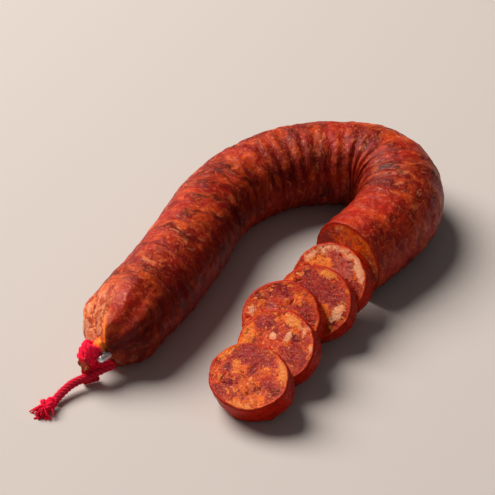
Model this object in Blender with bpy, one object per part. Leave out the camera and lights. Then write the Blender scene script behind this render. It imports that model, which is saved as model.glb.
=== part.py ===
"""A cured sausage bent into a horseshoe: a tied leg, a bend, a cut leg and the slices that lean in its line.

The legs run along Y and the bend is at +Y. The tied end has a metal clip, a wound string and a
free string that ends in a frayed knot. Everything lies on the plane Z = 0.
"""

import math

import bmesh
import bpy
from mathutils import Matrix, Vector, noise

MM = 0.001
GAP = 0.3 * MM  # air left between pieces that touch
ORIGIN = Vector((12.99, -3.11, 0.0)) * MM  # middle of the ground box, in the numbers used below

# the sausage's middle line, from the neck of the tied end: (length, turn in degrees to the left)
LEG_START = Vector((-24.8, -87.4)) * MM
LEG_HEADING = 79.6
STRETCHES = (
    (47 * MM, 11.0),
    (45 * MM, 8.4),
    (30 * MM, -22.9),
    (30 * MM, -29.8),
    (30 * MM, -27.6),
    (30 * MM, -73.0),
    (30 * MM, -43.0),
    (31 * MM, -8.0),
)
# radius along that line, at equal distances from the neck to the cut
RADII = (17.2 * MM, 17.7 * MM, 17.4 * MM, 18.8 * MM, 19.0 * MM, 17.7 * MM)
LIE = 0.965  # height of the middle line above the ground, in radii
SHARP = math.radians(50)
RING_STEP = 3.1 * MM
AROUND = 28

# the tied end: the casing is gathered into a neck that flares out again behind the clip
NECK_RADIUS = 1.5 * MM
NECK_HEIGHT = 13.4 * MM
NECK_ASIDE = 1.6 * MM  # the neck leaves the end a little off its middle
NECK_TURN = -16.0  # the neck bends aside behind the clip, in degrees
NECK_LENGTH = 10.6 * MM
SHOULDER = 20.0 * MM  # length over which the body rounds down to the neck
TAIL_LENGTH = 3.0 * MM
TAIL_RADIUS = 3.7 * MM
TAIL_DROP = 1.8 * MM
TAIL_LOBES = 5
PLEATS = 9
PLEAT_DEPTH = 0.9 * MM

# folds across the bend and lumps of the filling under the casing
FOLD_PITCH = 7.5 * MM
FOLD_DEPTH = 0.55 * MM
LUMP_SIZE = 9.0 * MM
LUMP_DEPTH = 0.5 * MM

# slices, from the cut face outwards: across, yaw and tilt in degrees, width, height, thickness
SLICES = (
    (1.2 * MM, -3.0, 49.0, 34.0 * MM, 31.5 * MM, 10.6 * MM),
    (0.9 * MM, 1.0, 44.0, 34.0 * MM, 31.5 * MM, 10.2 * MM),
    (-6.8 * MM, 0.0, 44.0, 34.5 * MM, 31.5 * MM, 9.4 * MM),
    (-0.6 * MM, -3.0, 39.0, 33.5 * MM, 31.0 * MM, 10.0 * MM),
    (-1.6 * MM, 2.0, 30.0, 33.8 * MM, 28.8 * MM, 13.6 * MM),
)
ROW_X = 42.5 * MM
SLICE_GAP = 0.6 * MM
SLICE_SIDES = 36
RIM_ROUND = 0.7 * MM
FACE_RELIEF = 0.14 * MM
WALL_RELIEF = 0.5 * MM

# the metal clip: an oval ring of wire pressed round the neck
CLIP_WIRE = 1.25 * MM
CLIP_WIDE = 4.9 * MM
CLIP_HIGH = 3.4 * MM
CLIP_SKEW = 5.0  # degrees that its right end stands forward
CLIP_PLACE = 2.1 * MM  # from the end of the body, outwards

# the string wound behind the clip, as loops of one strand; they share their underside and fan out above
STRAND_RADIUS = 1.25 * MM
WRAP_TURNS = 4
WRAP_START = 5.7 * MM
WRAP_PITCH = 1.05 * MM
WRAP_TILT = 0.35 * MM
WRAP_WIDE = 4.2 * MM
WRAP_HIGH = 4.0 * MM
WRAP_ASIDE = -1.0 * MM
WRAP_FAN = 1.5 * MM

# the free string, from under the clip down to the ground, in millimetres
STRING_DIAMETER = 3.7 * MM
STRING_ROUTE = (
    (-18.5, -86.6, 6.3),
    (-19.8, -88.6, 6.2),
    (-21.5, -91.1, 6.0),
    (-23.3, -94.3, 5.6),
    (-25.5, -97.5, 5.0),
    (-27.7, -100.7, 4.7),
    (-29.6, -104.3, 4.2),
    (-30.9, -109.0, 3.2),
    (-31.7, -114.0, 2.2),
)
# its other end, cut off short underneath
END_DIAMETER = 3.0 * MM
END_ROUTE = (
    (-20.4, -89.6, 2.2),
    (-22.6, -92.3, 2.2),
    (-25.0, -94.9, 2.1),
    (-27.6, -97.6, 2.0),
)
STRING_STEP = 1.6 * MM
KNOT_LENGTH = 11.5 * MM
KNOT_WIDTH = 7.4 * MM
KNOT_HEIGHT = 6.2 * MM


def clear_scene():
    for item in list(bpy.data.objects):
        bpy.data.objects.remove(item, do_unlink=True)


def material(name, colour, roughness, metallic=0.0):
    """A plain Principled material."""
    made = bpy.data.materials.new(name)
    made.use_nodes = True
    shader = made.node_tree.nodes["Principled BSDF"]
    shader.inputs["Base Color"].default_value = (*colour, 1.0)
    shader.inputs["Roughness"].default_value = roughness
    shader.inputs["Metallic"].default_value = metallic
    return made


def smoothstep(value, low, high):
    share = min(max((value - low) / (high - low), 0.0), 1.0)
    return share * share * (3 - 2 * share)


def spread(values, share):
    """The value at a share of the way along equally spaced values."""
    place = min(max(share, 0.0), 1.0) * (len(values) - 1)
    first = min(int(place), len(values) - 2)
    return values[first] + (values[first + 1] - values[first]) * smoothstep(place - first, 0.0, 1.0)


def walk():
    """Points of the middle line on the ground, each with its distance and heading, about a millimetre apart."""
    x, y = LEG_START
    heading = math.radians(LEG_HEADING)
    along = 0.0
    points = [(along, x, y, heading)]
    for length, turn in STRETCHES:
        count = round(length / MM)
        bend = math.radians(turn) / count
        for _ in range(count):
            x += math.cos(heading + bend / 2) * length / count
            y += math.sin(heading + bend / 2) * length / count
            heading += bend
            along += length / count
            points.append((along, x, y, heading))
    return points


WALK = walk()
LENGTH = WALK[-1][0]


def on_neck(out):
    """Place and heading at a distance out from the body's end, along the neck that bends aside."""
    x, y, heading = on_line(0.0)
    count = max(round(out / (0.5 * MM)), 1)
    turn = 0.0
    for step in range(count):
        turn = math.radians(NECK_TURN) * smoothstep((step + 0.5) / count * out, 1 * MM, 6 * MM)
        x -= math.cos(heading + turn) * out / count
        y -= math.sin(heading + turn) * out / count
    return x, y, heading + turn


def on_line(along):
    """Place on the ground and heading at a distance along the middle line; below 0 it follows the neck."""
    if along < 0:
        return on_neck(-along)
    if along >= LENGTH:
        x, y, heading = WALK[-1][1:]
        x, y = x + math.cos(heading) * (along - LENGTH), y + math.sin(heading) * (along - LENGTH)
    else:
        index = min(int(along / LENGTH * (len(WALK) - 1)), len(WALK) - 2)
        before, after = WALK[index], WALK[index + 1]
        share = (along - before[0]) / (after[0] - before[0])
        x, y, heading = (a + (b - a) * share for a, b in zip(before[1:], after[1:]))
    aside = NECK_ASIDE * (1 - smoothstep(along, 0.0, SHOULDER))
    return x + math.sin(heading) * aside, y - math.cos(heading) * aside, heading


def radius_at(along):
    """Radius of the sausage: tail, neck, round shoulder and body."""
    if along < -NECK_LENGTH:
        out = (-NECK_LENGTH - along) / TAIL_LENGTH
        return NECK_RADIUS + (TAIL_RADIUS - NECK_RADIUS) * smoothstep(out, 0.0, 1.0)
    if along < 0:
        return NECK_RADIUS
    body = spread(RADII, along / LENGTH)
    share = min(along / SHOULDER, 1.0)
    dome = (1 - (1 - share) ** 2.3) ** 0.62
    return NECK_RADIUS + (body - NECK_RADIUS) * dome


def height_at(along):
    """Height of the middle line: the neck hangs lower than the body's middle, and the tail a little more."""
    body = spread(RADII, max(along, 0.0) / LENGTH) * LIE
    if along < 0:
        out = smoothstep(-along, 2 * MM, NECK_LENGTH + TAIL_LENGTH)
        return NECK_HEIGHT - TAIL_DROP * out
    return NECK_HEIGHT + (body - NECK_HEIGHT) * smoothstep(along, -6 * MM, SHOULDER * 1.2)


def ring_places():
    """Distances of the rings along the line, closer together where the radius changes fast."""
    places = []
    along = -NECK_LENGTH - TAIL_LENGTH
    while along < LENGTH - RING_STEP / 2:
        places.append(along)
        slow = 0.35 if along < 6 * MM else 0.6 if along < SHOULDER else 1.0
        along += RING_STEP * slow
    places.append(LENGTH)
    return places


def curve_object(name, points, radii, depth, sides, closed=False):
    """A round tube on a poly spline, with filled caps unless it is closed."""
    curve = bpy.data.curves.new(name, "CURVE")
    curve.dimensions = "3D"
    curve.twist_mode = "MINIMUM" if closed else "Z_UP"
    curve.bevel_depth = depth
    curve.bevel_resolution = sides // 2 - 2
    curve.use_fill_caps = not closed
    spline = curve.splines.new("POLY")
    spline.points.add(len(points) - 1)
    for target, place, radius in zip(spline.points, points, radii):
        target.co = (*place, 1.0)
        target.radius = radius
    spline.use_cyclic_u = closed
    made = bpy.data.objects.new(name, curve)
    bpy.context.scene.collection.objects.link(made)
    return made


def as_mesh(item):
    """The curve's evaluated tube as a welded mesh object of the same name; the curve is removed."""
    bpy.context.view_layer.update()
    evaluated = item.evaluated_get(bpy.context.evaluated_depsgraph_get())
    mesh = bpy.data.meshes.new_from_object(evaluated)
    name = item.name
    place = item.matrix_world.copy()
    bpy.data.objects.remove(item, do_unlink=True)
    edit = bmesh.new()
    edit.from_mesh(mesh)
    bmesh.ops.remove_doubles(edit, verts=edit.verts, dist=0.01 * MM)
    bmesh.ops.recalc_face_normals(edit, faces=edit.faces)
    edit.to_mesh(mesh)
    edit.free()
    made = bpy.data.objects.new(name, mesh)
    made.matrix_world = place
    bpy.context.scene.collection.objects.link(made)
    return made


def finish(item, look, collection):
    """Material, round shading, a place in the object's collection, and the move to the origin."""
    item.data.materials.clear()
    item.data.materials.append(look)
    item.data.transform(Matrix.Translation(-ORIGIN))
    item.data.shade_smooth()
    item.data.set_sharp_from_angle(angle=SHARP)
    for holder in list(item.users_collection):
        holder.objects.unlink(item)
    collection.objects.link(item)
    return item


def relief_at(along, side, down, radius):
    """How far the casing stands in or out. side is 1 on the inner side of the bend, down 1 underneath."""
    body = smoothstep(along, 2 * MM, SHOULDER)
    bend = smoothstep(along, 80 * MM, 120 * MM) * (1 - 0.5 * smoothstep(along, 235 * MM, 260 * MM))
    wander = noise.noise(Vector((along / (14 * MM), side * 1.5, down * 1.5))) * 2.4
    fold = math.sin(2 * math.pi * along / FOLD_PITCH + wander)
    folds = FOLD_DEPTH * fold * (0.25 + 0.75 * max(side, 0.0)) * (0.35 + 0.65 * bend)
    spot = Vector((along, side * radius, down * radius)) / LUMP_SIZE
    lumps = LUMP_DEPTH * noise.noise(spot + Vector((7.1, 2.3, 5.7)))
    return (folds + lumps) * body


def pleat_at(along, angle):
    """Gathers that run down the shoulder into the neck, and the ruffle of the tail."""
    if along < 0:
        flare = smoothstep(-along, NECK_LENGTH, NECK_LENGTH + TAIL_LENGTH)
        return 0.2 * TAIL_RADIUS * flare * math.cos(TAIL_LOBES * angle + 0.6)
    strength = smoothstep(along, 0.5 * MM, 5 * MM) * (1 - smoothstep(along, SHOULDER * 0.6, SHOULDER * 1.6))
    wander = 1.6 * noise.noise(Vector((math.cos(angle) * 1.3, math.sin(angle) * 1.3, along / (20 * MM))))
    return PLEAT_DEPTH * strength * math.cos(PLEATS * angle + wander)


def make_sausage(collection, look):
    """The whole leg, bend and cut leg, with the gathered neck and its ruffled tail, as one solid."""
    places = ring_places()
    points = []
    radii = []
    for along in places:
        x, y, _ = on_line(along)
        points.append(Vector((x, y, height_at(along))))
        radii.append(radius_at(along) / RADII[0])
    tube = as_mesh(curve_object("sausage", points, radii, RADII[0], AROUND))
    for vertex in tube.data.vertices:
        along = nearest_place(vertex.co, places)
        x, y, heading = on_line(along)
        across = Vector((math.sin(heading), -math.cos(heading), 0.0))
        middle = Vector((x, y, height_at(along)))
        out = vertex.co - middle
        reach = out.length
        if reach < 0.2 * MM:
            continue
        out.normalize()
        side = out.dot(across)
        down = -out.z
        change = relief_at(along, side, down, reach) + pleat_at(along, math.atan2(-down, side))
        vertex.co = middle + out * (reach + change)
        vertex.co.z = max(vertex.co.z, 0.0)
    return finish(tube, look, collection)


def nearest_place(point, places):
    """The ring that a vertex of the tube belongs to."""
    best = None
    for along in places:
        x, y, heading = on_line(along)
        gap = abs((point.x - x) * math.cos(heading) + (point.y - y) * math.sin(heading))
        far = math.hypot(point.x - x, point.y - y)
        if far < radius_at(along) * 1.25 + 2 * MM and (best is None or gap < best[0]):
            best = (gap, along)
    return best[1]


def slice_rows():
    """Each slice's frame: its middle, the ways across and down its face, and its face's normal.

    Each one lies back on the face behind it, so its distance follows from both tilts.
    """
    end_x, end_y, _ = on_line(LENGTH)
    rows = []
    reach_out = 0.0
    before = None
    for across, yaw, tilt, width, height, thick in SLICES:
        lean = math.radians(tilt)
        half_reach = height / 2 * math.cos(lean) + thick / 2 * math.sin(lean)
        if before is None:
            reach_out = -end_y + SLICE_GAP + half_reach
        else:
            last_lean, last_height, last_thick = before
            last_middle = last_height / 2 * math.sin(last_lean) + last_thick / 2 * math.cos(last_lean)
            rise = height * math.sin(lean) - last_middle
            stand = last_thick / 2 + SLICE_GAP - rise * math.cos(last_lean)
            reach_out += half_reach + stand / math.sin(last_lean)
        before = (lean, height, thick)
        ahead = math.radians(yaw - 90)
        level = Vector((math.cos(ahead), math.sin(ahead), 0.0))
        up = Vector((0.0, 0.0, 1.0))
        normal = level * math.sin(lean) + up * math.cos(lean)
        down = level * math.cos(lean) - up * math.sin(lean)
        lift = height / 2 * math.sin(lean) + thick / 2 * math.cos(lean)
        middle = Vector((ROW_X + across, -reach_out, lift))
        rows.append((middle, normal.cross(down), down, normal, width, height, thick))
    return rows


def make_slice(index, frame, collection, look):
    """One thick slice: a short round tube with rounded rims, its faces and wall a little uneven."""
    middle, across, down, normal, width, height, thick = frame
    half = thick / 2
    stations = (-half, -half + RIM_ROUND, 0.0, half - RIM_ROUND, half)
    sizes = (0.965, 1.0, 1.012, 1.0, 0.965)
    points = [Vector((0.0, place, 0.0)) for place in stations]
    radius = width / 2
    tube = as_mesh(curve_object(f"slice_{index}", points, sizes, radius, SLICE_SIDES))
    edit = bmesh.new()
    edit.from_mesh(tube.data)
    for inset in (0.24, 0.34):
        caps = [face for face in edit.faces if len(face.verts) > 8]
        bmesh.ops.inset_individual(edit, faces=caps, thickness=inset * radius)
    for vertex in edit.verts:
        x, along, y = vertex.co.x / radius, vertex.co.y, vertex.co.z / radius
        spot = Vector((x * 2.2, y * 2.2, along / (8 * MM) + index * 5.3))
        wall = 1 + WALL_RELIEF / radius * noise.noise(spot)
        face = FACE_RELIEF * noise.noise(spot * 1.7 + Vector((3.1, 0.0, 9.2)))
        rise = along + (face if abs(along) > half - 0.1 * MM else 0.0)
        flat = across * (x * radius * wall) + down * (y * height / 2 * wall)
        vertex.co = middle + flat + normal * rise
    lowest = min(vertex.co.z for vertex in edit.verts)
    for vertex in edit.verts:
        vertex.co.z = max(vertex.co.z - lowest - 0.15 * MM, 0.0)
    edit.to_mesh(tube.data)
    edit.free()
    return finish(tube, look, collection)


def neck_frame(outwards):
    """Middle of the neck at a distance from the body, with the ways across, up and outwards."""
    x, y, heading = on_line(-outwards)
    out = Vector((-math.cos(heading), -math.sin(heading), 0.0))
    up = Vector((0.0, 0.0, 1.0))
    return Vector((x, y, height_at(-outwards))), out.cross(up), up, out


def make_clip(collection, look):
    """An oval ring of round wire pressed on the neck."""
    middle, across, up, out = neck_frame(CLIP_PLACE)
    across = Matrix.Rotation(math.radians(-CLIP_SKEW), 3, up) @ across
    count = 20
    turns = [2 * math.pi * step / count for step in range(count)]
    points = [middle + across * math.cos(t) * CLIP_WIDE + up * math.sin(t) * CLIP_HIGH for t in turns]
    ring = as_mesh(curve_object("clip", points, [1.0] * count, CLIP_WIRE, 10, closed=True))
    return finish(ring, look, collection)


def make_wrap(collection, cutters, look):
    """The bundle of wound strands: tilted loops, each in its own size, joined into one solid."""
    loops = []
    count = 18
    _, across, up, out = neck_frame(0.0)
    for turn in range(WRAP_TURNS):
        middle = neck_frame(WRAP_START + turn * WRAP_PITCH)[0]
        fan = WRAP_FAN * (1 - turn / (WRAP_TURNS - 1))
        middle = middle + across * WRAP_ASIDE + up * fan
        points = []
        for step in range(count):
            t = 2 * math.pi * step / count
            flat = across * math.cos(t) * (WRAP_WIDE + fan * 0.2) + up * math.sin(t) * (WRAP_HIGH + fan)
            points.append(middle + flat + out * (WRAP_TILT * math.sin(t + 0.7)))
        loop = curve_object(f"loop_{turn}", points, [1.0] * count, STRAND_RADIUS, 8, closed=True)
        loops.append(as_mesh(loop))
    first = loops[0]
    first.name = "string_wrap"
    for loop in loops[1:]:
        cutters.objects.link(loop)
        bpy.context.scene.collection.objects.unlink(loop)
    join = first.modifiers.new("join", "BOOLEAN")
    join.operation = "UNION"
    join.solver = "EXACT"
    join.operand_type = "COLLECTION"
    join.collection = cutters
    bpy.context.view_layer.update()
    evaluated = first.evaluated_get(bpy.context.evaluated_depsgraph_get())
    joined = bpy.data.meshes.new_from_object(evaluated)
    first.modifiers.clear()
    first.data = joined
    for loop in loops[1:]:
        bpy.data.objects.remove(loop, do_unlink=True)
    return finish(first, look, collection)


def smooth_route(points, step):
    """Points a step apart on a smooth curve through the route's own points."""
    places = [Vector(point) * MM for point in points]
    ends = [places[0] * 2 - places[1], *places, places[-1] * 2 - places[-2]]
    fine = []
    for index in range(1, len(ends) - 2):
        before, here, after, beyond = ends[index - 1:index + 3]
        for part in range(16):
            t = part / 16
            fine.append(0.5 * (2 * here + (after - before) * t
                               + (2 * before - 5 * here + 4 * after - beyond) * t ** 2
                               + (3 * here - before - 3 * after + beyond) * t ** 3))
    fine.append(places[-1])
    total = sum((b - a).length for a, b in zip(fine, fine[1:]))
    count = max(round(total / step), 1)
    even = [fine[0]]
    walked = 0.0
    for a, b in zip(fine, fine[1:]):
        piece = (b - a).length
        while len(even) < count and walked + piece >= total * len(even) / count:
            even.append(a.lerp(b, (total * len(even) / count - walked) / piece))
        walked += piece
    even.append(fine[-1])
    return even


def make_string(name, route, diameter, collection, look):
    """A strand as a plain tube along its route."""
    points = smooth_route(route, STRING_STEP)
    tube = as_mesh(curve_object(name, points, [1.0] * len(points), diameter / 2, 8))
    return finish(tube, look, collection)


def make_knot(collection, look):
    """The frayed knot on the end of the string: a lumpy tuft that lies on the ground."""
    route = [Vector(point) * MM for point in STRING_ROUTE]
    ahead = (route[-1] - route[-2])
    ahead.z = 0.0
    ahead.normalize()
    side = Vector((0.0, 0.0, 1.0)).cross(ahead)
    middle = route[-1] + ahead * (KNOT_LENGTH / 2 + GAP)
    middle.z = KNOT_HEIGHT / 2
    edit = bmesh.new()
    bmesh.ops.create_uvsphere(edit, u_segments=16, v_segments=10, radius=1.0)
    for vertex in edit.verts:
        spot = vertex.co.copy()
        swell = 1 + 0.16 * noise.noise(spot * 2.2 + Vector((4.0, 1.0, 2.0)))
        flare = 0.85 + 0.2 * spot.x
        place = (ahead * (spot.x * KNOT_LENGTH / 2)
                 + side * (spot.y * swell * flare * KNOT_WIDTH / 2)
                 + Vector((0.0, 0.0, spot.z * swell * KNOT_HEIGHT / 2)))
        vertex.co = middle + place
        vertex.co.z = max(vertex.co.z, 0.0)
    mesh = bpy.data.meshes.new("string_knot")
    edit.to_mesh(mesh)
    edit.free()
    knot = bpy.data.objects.new("string_knot", mesh)
    bpy.context.scene.collection.objects.link(knot)
    return finish(knot, look, collection)


def main():
    clear_scene()
    parts = bpy.data.collections.new("cured_sausage")
    cutters = bpy.data.collections.new("joined_shapes")
    for holder in (parts, cutters):
        bpy.context.scene.collection.children.link(holder)
    casing = material("casing", (0.36, 0.055, 0.022), 0.42)
    meat = material("cut_meat", (0.50, 0.10, 0.045), 0.5)
    metal = material("clip_metal", (0.80, 0.80, 0.81), 0.25, 1.0)
    cotton = material("red_string", (0.56, 0.015, 0.04), 0.8)
    make_sausage(parts, casing)
    make_clip(parts, metal)
    make_wrap(parts, cutters, cotton)
    make_string("string", STRING_ROUTE, STRING_DIAMETER, parts, cotton)
    make_string("string_end", END_ROUTE, END_DIAMETER, parts, cotton)
    make_knot(parts, cotton)
    for index, frame in enumerate(slice_rows(), start=1):
        make_slice(index, frame, parts, meat)


if __name__ == "__main__":
    main()
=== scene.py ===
"""The looks of a cured sausage bent into a horseshoe: its casing, cut slices, metal clip and red string.

The file is laid out as an add-on. Run as a script, it makes every piece, the floor, the lights and the
camera.
"""

import math

import bpy
import numpy as np
from mathutils import Matrix, Vector, noise


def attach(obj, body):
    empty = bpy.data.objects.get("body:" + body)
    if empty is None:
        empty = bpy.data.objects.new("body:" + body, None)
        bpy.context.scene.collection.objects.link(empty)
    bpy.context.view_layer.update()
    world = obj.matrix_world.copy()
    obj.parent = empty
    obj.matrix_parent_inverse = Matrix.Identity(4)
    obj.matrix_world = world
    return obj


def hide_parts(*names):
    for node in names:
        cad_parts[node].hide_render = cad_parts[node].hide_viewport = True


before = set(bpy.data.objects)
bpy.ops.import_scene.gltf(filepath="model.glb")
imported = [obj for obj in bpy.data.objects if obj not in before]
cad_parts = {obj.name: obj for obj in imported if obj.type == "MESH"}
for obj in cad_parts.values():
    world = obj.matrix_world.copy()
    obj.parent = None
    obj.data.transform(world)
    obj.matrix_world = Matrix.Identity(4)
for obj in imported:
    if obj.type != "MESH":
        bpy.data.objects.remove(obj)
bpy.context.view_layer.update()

bl_info = {
    "name": "Cured sausage",
    "version": (1, 0, 0),
    "blender": (4, 5, 0),
    "location": "3D View > Sidebar > Sausage",
    "description": "Makes a cured sausage in a horseshoe with its slices, clip and string",
    "category": "Add Mesh",
}

noise.seed_set(5)  # the same uneven relief in every run

MM = 0.001
BODY = "root"
ORIGIN = Vector((12.99, -3.11, 0.0)) * MM  # where the route's own numbers have the frame's origin

# the middle line, from the neck of the tied end: (length, turn in degrees to the left)
LEG_START = Vector((-24.8, -87.4)) * MM
LEG_HEADING = 79.6
STRETCHES = (
    (47 * MM, 11.0),
    (45 * MM, 8.4),
    (30 * MM, -22.9),
    (30 * MM, -29.8),
    (30 * MM, -27.6),
    (30 * MM, -73.0),
    (30 * MM, -43.0),
    (31 * MM, -8.0),
)
RADII = (17.2 * MM, 17.7 * MM, 17.4 * MM, 18.8 * MM, 19.0 * MM, 17.7 * MM)
LIE = 0.965

# the gathered end
NECK_RADIUS = 1.5 * MM
NECK_HEIGHT = 13.4 * MM
NECK_ASIDE = 1.6 * MM
NECK_TURN = -16.0
NECK_LENGTH = 8.6 * MM
SHOULDER = 20.0 * MM
TAIL_LENGTH = 2.4 * MM
TAIL_RADIUS = 3.3 * MM
TAIL_DROP = 1.8 * MM
TAIL_LOBES = 5
PLEATS = 9
PLEAT_DEPTH = 0.6 * MM

# the tied end's swollen side, the lump over the clip, the ridge drawn forwards and the hollow beside it
SWELL_HEIGHT = 2.3 * MM
LUMP_HEIGHT = 4.7 * MM
RIDGE_REACH = 2.5 * MM
HOLLOW_DEPTH = 1.1 * MM

# the casing's closed ends
CUT_EDGE = 0.35 * MM
TAIL_SINK = 1.1 * MM
CUT_SINK = 0.5 * MM
CAP_RINGS = (0.93, 0.86, 0.55, 0.0)
GROUND_GAP = 0.02 * MM

# relief that the frame's solids share
FOLD_PITCH = 7.5 * MM
FOLD_DEPTH = 0.55 * MM
LUMP_SIZE = 9.0 * MM
LUMP_DEPTH = 0.5 * MM

# slices, from the cut face outwards: across, yaw and tilt in degrees, width, height, thickness
SLICES = (
    (1.2 * MM, -3.0, 49.0, 34.0 * MM, 31.5 * MM, 10.6 * MM),
    (0.9 * MM, 1.0, 44.0, 34.0 * MM, 31.5 * MM, 10.2 * MM),
    (-6.8 * MM, 0.0, 44.0, 34.5 * MM, 31.5 * MM, 9.4 * MM),
    (-0.6 * MM, -3.0, 39.0, 33.5 * MM, 31.0 * MM, 10.0 * MM),
    (-1.6 * MM, 2.0, 30.0, 33.8 * MM, 28.8 * MM, 13.6 * MM),
)
ROW_X = 42.5 * MM
SLICE_GAP = 0.6 * MM
WALL_RELIEF = 0.5 * MM
FOLD_ON_WALL = 0.12 * MM
ROUNDED_RIM = 0.10 * MM
FACE_RELIEF = (0.10 * MM, -0.07 * MM, 0.07 * MM, 0.16 * MM, -0.55 * MM)  # fat, lean, grain, swell, split
FACE_THICK = 1.0 * MM
FACE_INSET = 0.75 * MM

# what shows on each cut face, from the body's own to the last slice's:
# kind, place across and down the face and half sizes in mm, and turn in degrees
MARKS = (
    # the body's own face: its broad orange marks are partly paprika fat, partly painted light on a face the
    # key light barely reaches
    (
        ("lean", -14.2, -4.5, 5.5, 4.6, -30),
        ("cream", -3.7, -12.4, 4.2, 2.8, 0),
        ("orange", 3.6, -10.6, 9.0, 6.4, 20),
        ("orange", 12.4, -6.0, 8.0, 11.0, 20),
        ("yellow", 9.6, -10.6, 2.6, 2.2, 30),
        ("lean", 4.0, 2.0, 8.0, 5.0, 20),
        ("fat", -6.0, 4.0, 3.0, 4.0, 0),
    ),
    (
        ("grey", -3.0, -12.4, 8.0, 3.0, 0),
        ("cream", -11.6, -7.6, 2.4, 3.4, 25),
        ("mauve", 1.0, -9.6, 4.6, 3.0, 0),
        ("yellow", -5.0, -5.8, 5.4, 3.0, 10),
        ("mauve", 5.2, -4.6, 5.4, 7.4, -20),
        ("cream", 11.6, -7.6, 2.2, 6.2, -30),
        ("grey", 4.6, -12.2, 3.0, 1.8, 20),
        ("lean", 11.6, 2.4, 3.4, 5.0, -10),
        ("fat", 0.0, 5.0, 4.0, 2.6, 0),
    ),
    (
        ("fat", 3.2, -13.0, 4.6, 1.9, 0),
        ("orange", -13.4, -6.4, 3.4, 3.0, 40),
        ("lean", 2.0, -4.6, 10.4, 6.0, 8),
        ("cream", 11.6, 1.6, 2.4, 4.6, 25),
        ("orange", 4.0, 3.0, 4.6, 3.6, 0),
        ("lean", -8.0, 5.0, 5.0, 4.0, 0),
    ),
    (
        ("grey", -13.2, 0.4, 2.0, 2.0, 0),
        ("orange", 4.4, -9.6, 2.4, 2.8, 0),
        ("orange", -9.8, -4.4, 2.2, 2.0, 0),
        ("lean", -3.6, -10.8, 4.6, 3.0, 0),
        ("lean", 10.0, -4.0, 3.6, 5.6, -25),
        ("mauve", -4.6, -3.4, 3.2, 2.4, 20),
    ),
    (
        ("yellow", -13.6, -0.6, 3.4, 4.6, 10),
        ("cream", -2.9, -3.4, 1.5, 1.6, 0),
        ("cream", 3.4, -4.6, 1.4, 2.8, 10),
        ("fat", 2.6, -12.0, 4.2, 2.4, 15),
        ("grey", 10.6, -9.2, 2.2, 4.4, -35),
        ("cream", 13.4, -2.6, 2.4, 2.8, 0),
        ("lean", 9.2, 2.2, 6.0, 5.2, 20),
        ("lean", -8.2, -7.8, 4.2, 2.6, -25),
        ("split", 11.8, -6.2, 1.3, 3.2, -15),
    ),
    (
        ("lean", -1.6, -9.4, 8.6, 4.4, 8),
        ("yellow", -6.7, -3.7, 2.3, 1.7, -30),
        ("split", -7.6, 4.3, 3.4, 2.8, 0),
        ("orange", 0.9, 3.6, 4.4, 3.6, 0),
        ("lean", 9.4, 1.4, 2.8, 2.2, 0),
        ("fat", 13.0, -5.6, 2.0, 5.6, -20),
        ("orange", 6.0, 9.4, 4.6, 3.0, -20),
        ("lean", -9.0, 9.0, 3.4, 2.4, 30),
        ("yellow", -11.4, -8.6, 5.0, 1.6, -50),
        ("fat", 2.0, 13.0, 6.6, 1.5, 0),
    ),
)
PLAIN_FILLING = (0.22, 0.10, 0.12, 0.38)  # lean, fat, pale and orange where there is no mark
KINDS = {  # the lean, fat, pale and orange of each kind of mark
    "lean": (1.0, 0.0, 0.0, 0.0),
    "mauve": (0.8, 0.22, 0.6, 0.0),
    "orange": (0.0, 0.18, 0.0, 1.0),
    "yellow": (0.0, 0.75, 0.15, 1.0),
    "fat": (0.0, 1.0, 0.4, 0.5),
    "cream": (0.0, 1.0, 1.0, 0.0),
    "grey": (0.25, 0.8, 1.0, 0.0),
    "split": (0.5, 0.0, 0.0, 0.0),
}

# the clip and the string
CLIP_WIRE = 1.1 * MM
CLIP_WIDE = 2.7 * MM
CLIP_HIGH = 2.5 * MM
CLIP_SKEW = 5.0
CLIP_PLACE = 2.1 * MM
CLIP_BAR_HEADING = math.radians(74)
CLIP_BAR_ASIDE = 3.6 * MM
CLIP_BAR_UP = -0.1 * MM
CLIP_BAR_BACK = 0.9 * MM
CLIP_BAR_HALF = 1.9 * MM
CLIP_BAR_RADIUS = 1.9 * MM
STRAND_RADIUS = 1.25 * MM
WOUND_TURNS = 5
WOUND_PLACE = 6.5 * MM
WOUND_DROOP = 50.0
WOUND_UP = 2.0 * MM
WOUND_ASIDE = 1.3 * MM
WOUND_PITCH = 1.5 * MM
WOUND_WIDE = 3.2 * MM
WOUND_HIGH = 3.3 * MM
LAST_TURN_ROUTE = (
    (-28.2, -93.6, 11.2),
    (-26.4, -93.6, 9.0),
    (-23.4, -91.6, 7.9),
    (-20.4, -88.9, 7.6),
    (-19.0, -87.2, 8.2),
)
YARN_DIAMETER = 1.05 * MM
YARN_LAY = 2.6 * MM
YARN_CORNERS = ((-29.6, -93.0, 11.0), (-22.2, -89.9, 9.2), (-27.2, -97.6, 5.8), (-21.8, -91.9, 6.3))
STRING_DIAMETER = 3.7 * MM
STRING_ROUTE = (
    (-18.5, -86.6, 6.3),
    (-19.8, -88.6, 6.2),
    (-21.5, -91.1, 6.0),
    (-23.3, -94.3, 5.6),
    (-25.5, -97.5, 5.0),
    (-27.7, -100.7, 4.7),
    (-29.6, -104.3, 4.2),
    (-30.9, -109.0, 3.2),
    (-31.7, -114.0, 2.2),
)
END_DIAMETER = 3.0 * MM
END_ROUTE = (
    (-22.9, -92.6, 2.2),
    (-25.0, -94.9, 2.1),
    (-27.6, -97.6, 2.0),
)
KNOT_LENGTH = 11.5 * MM
KNOT_HEIGHT = 6.2 * MM
KNOT_LOOP = (2.6 * MM, 2.3 * MM, 1.1 * MM)
KNOT_STRAND = 2.5 * MM
TUFT_DIAMETER = 0.75 * MM
TUFT_LAY = 2.4 * MM
STRAND_STEP = 0.22 * MM
ROUTE_STEP = 0.8 * MM

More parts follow.
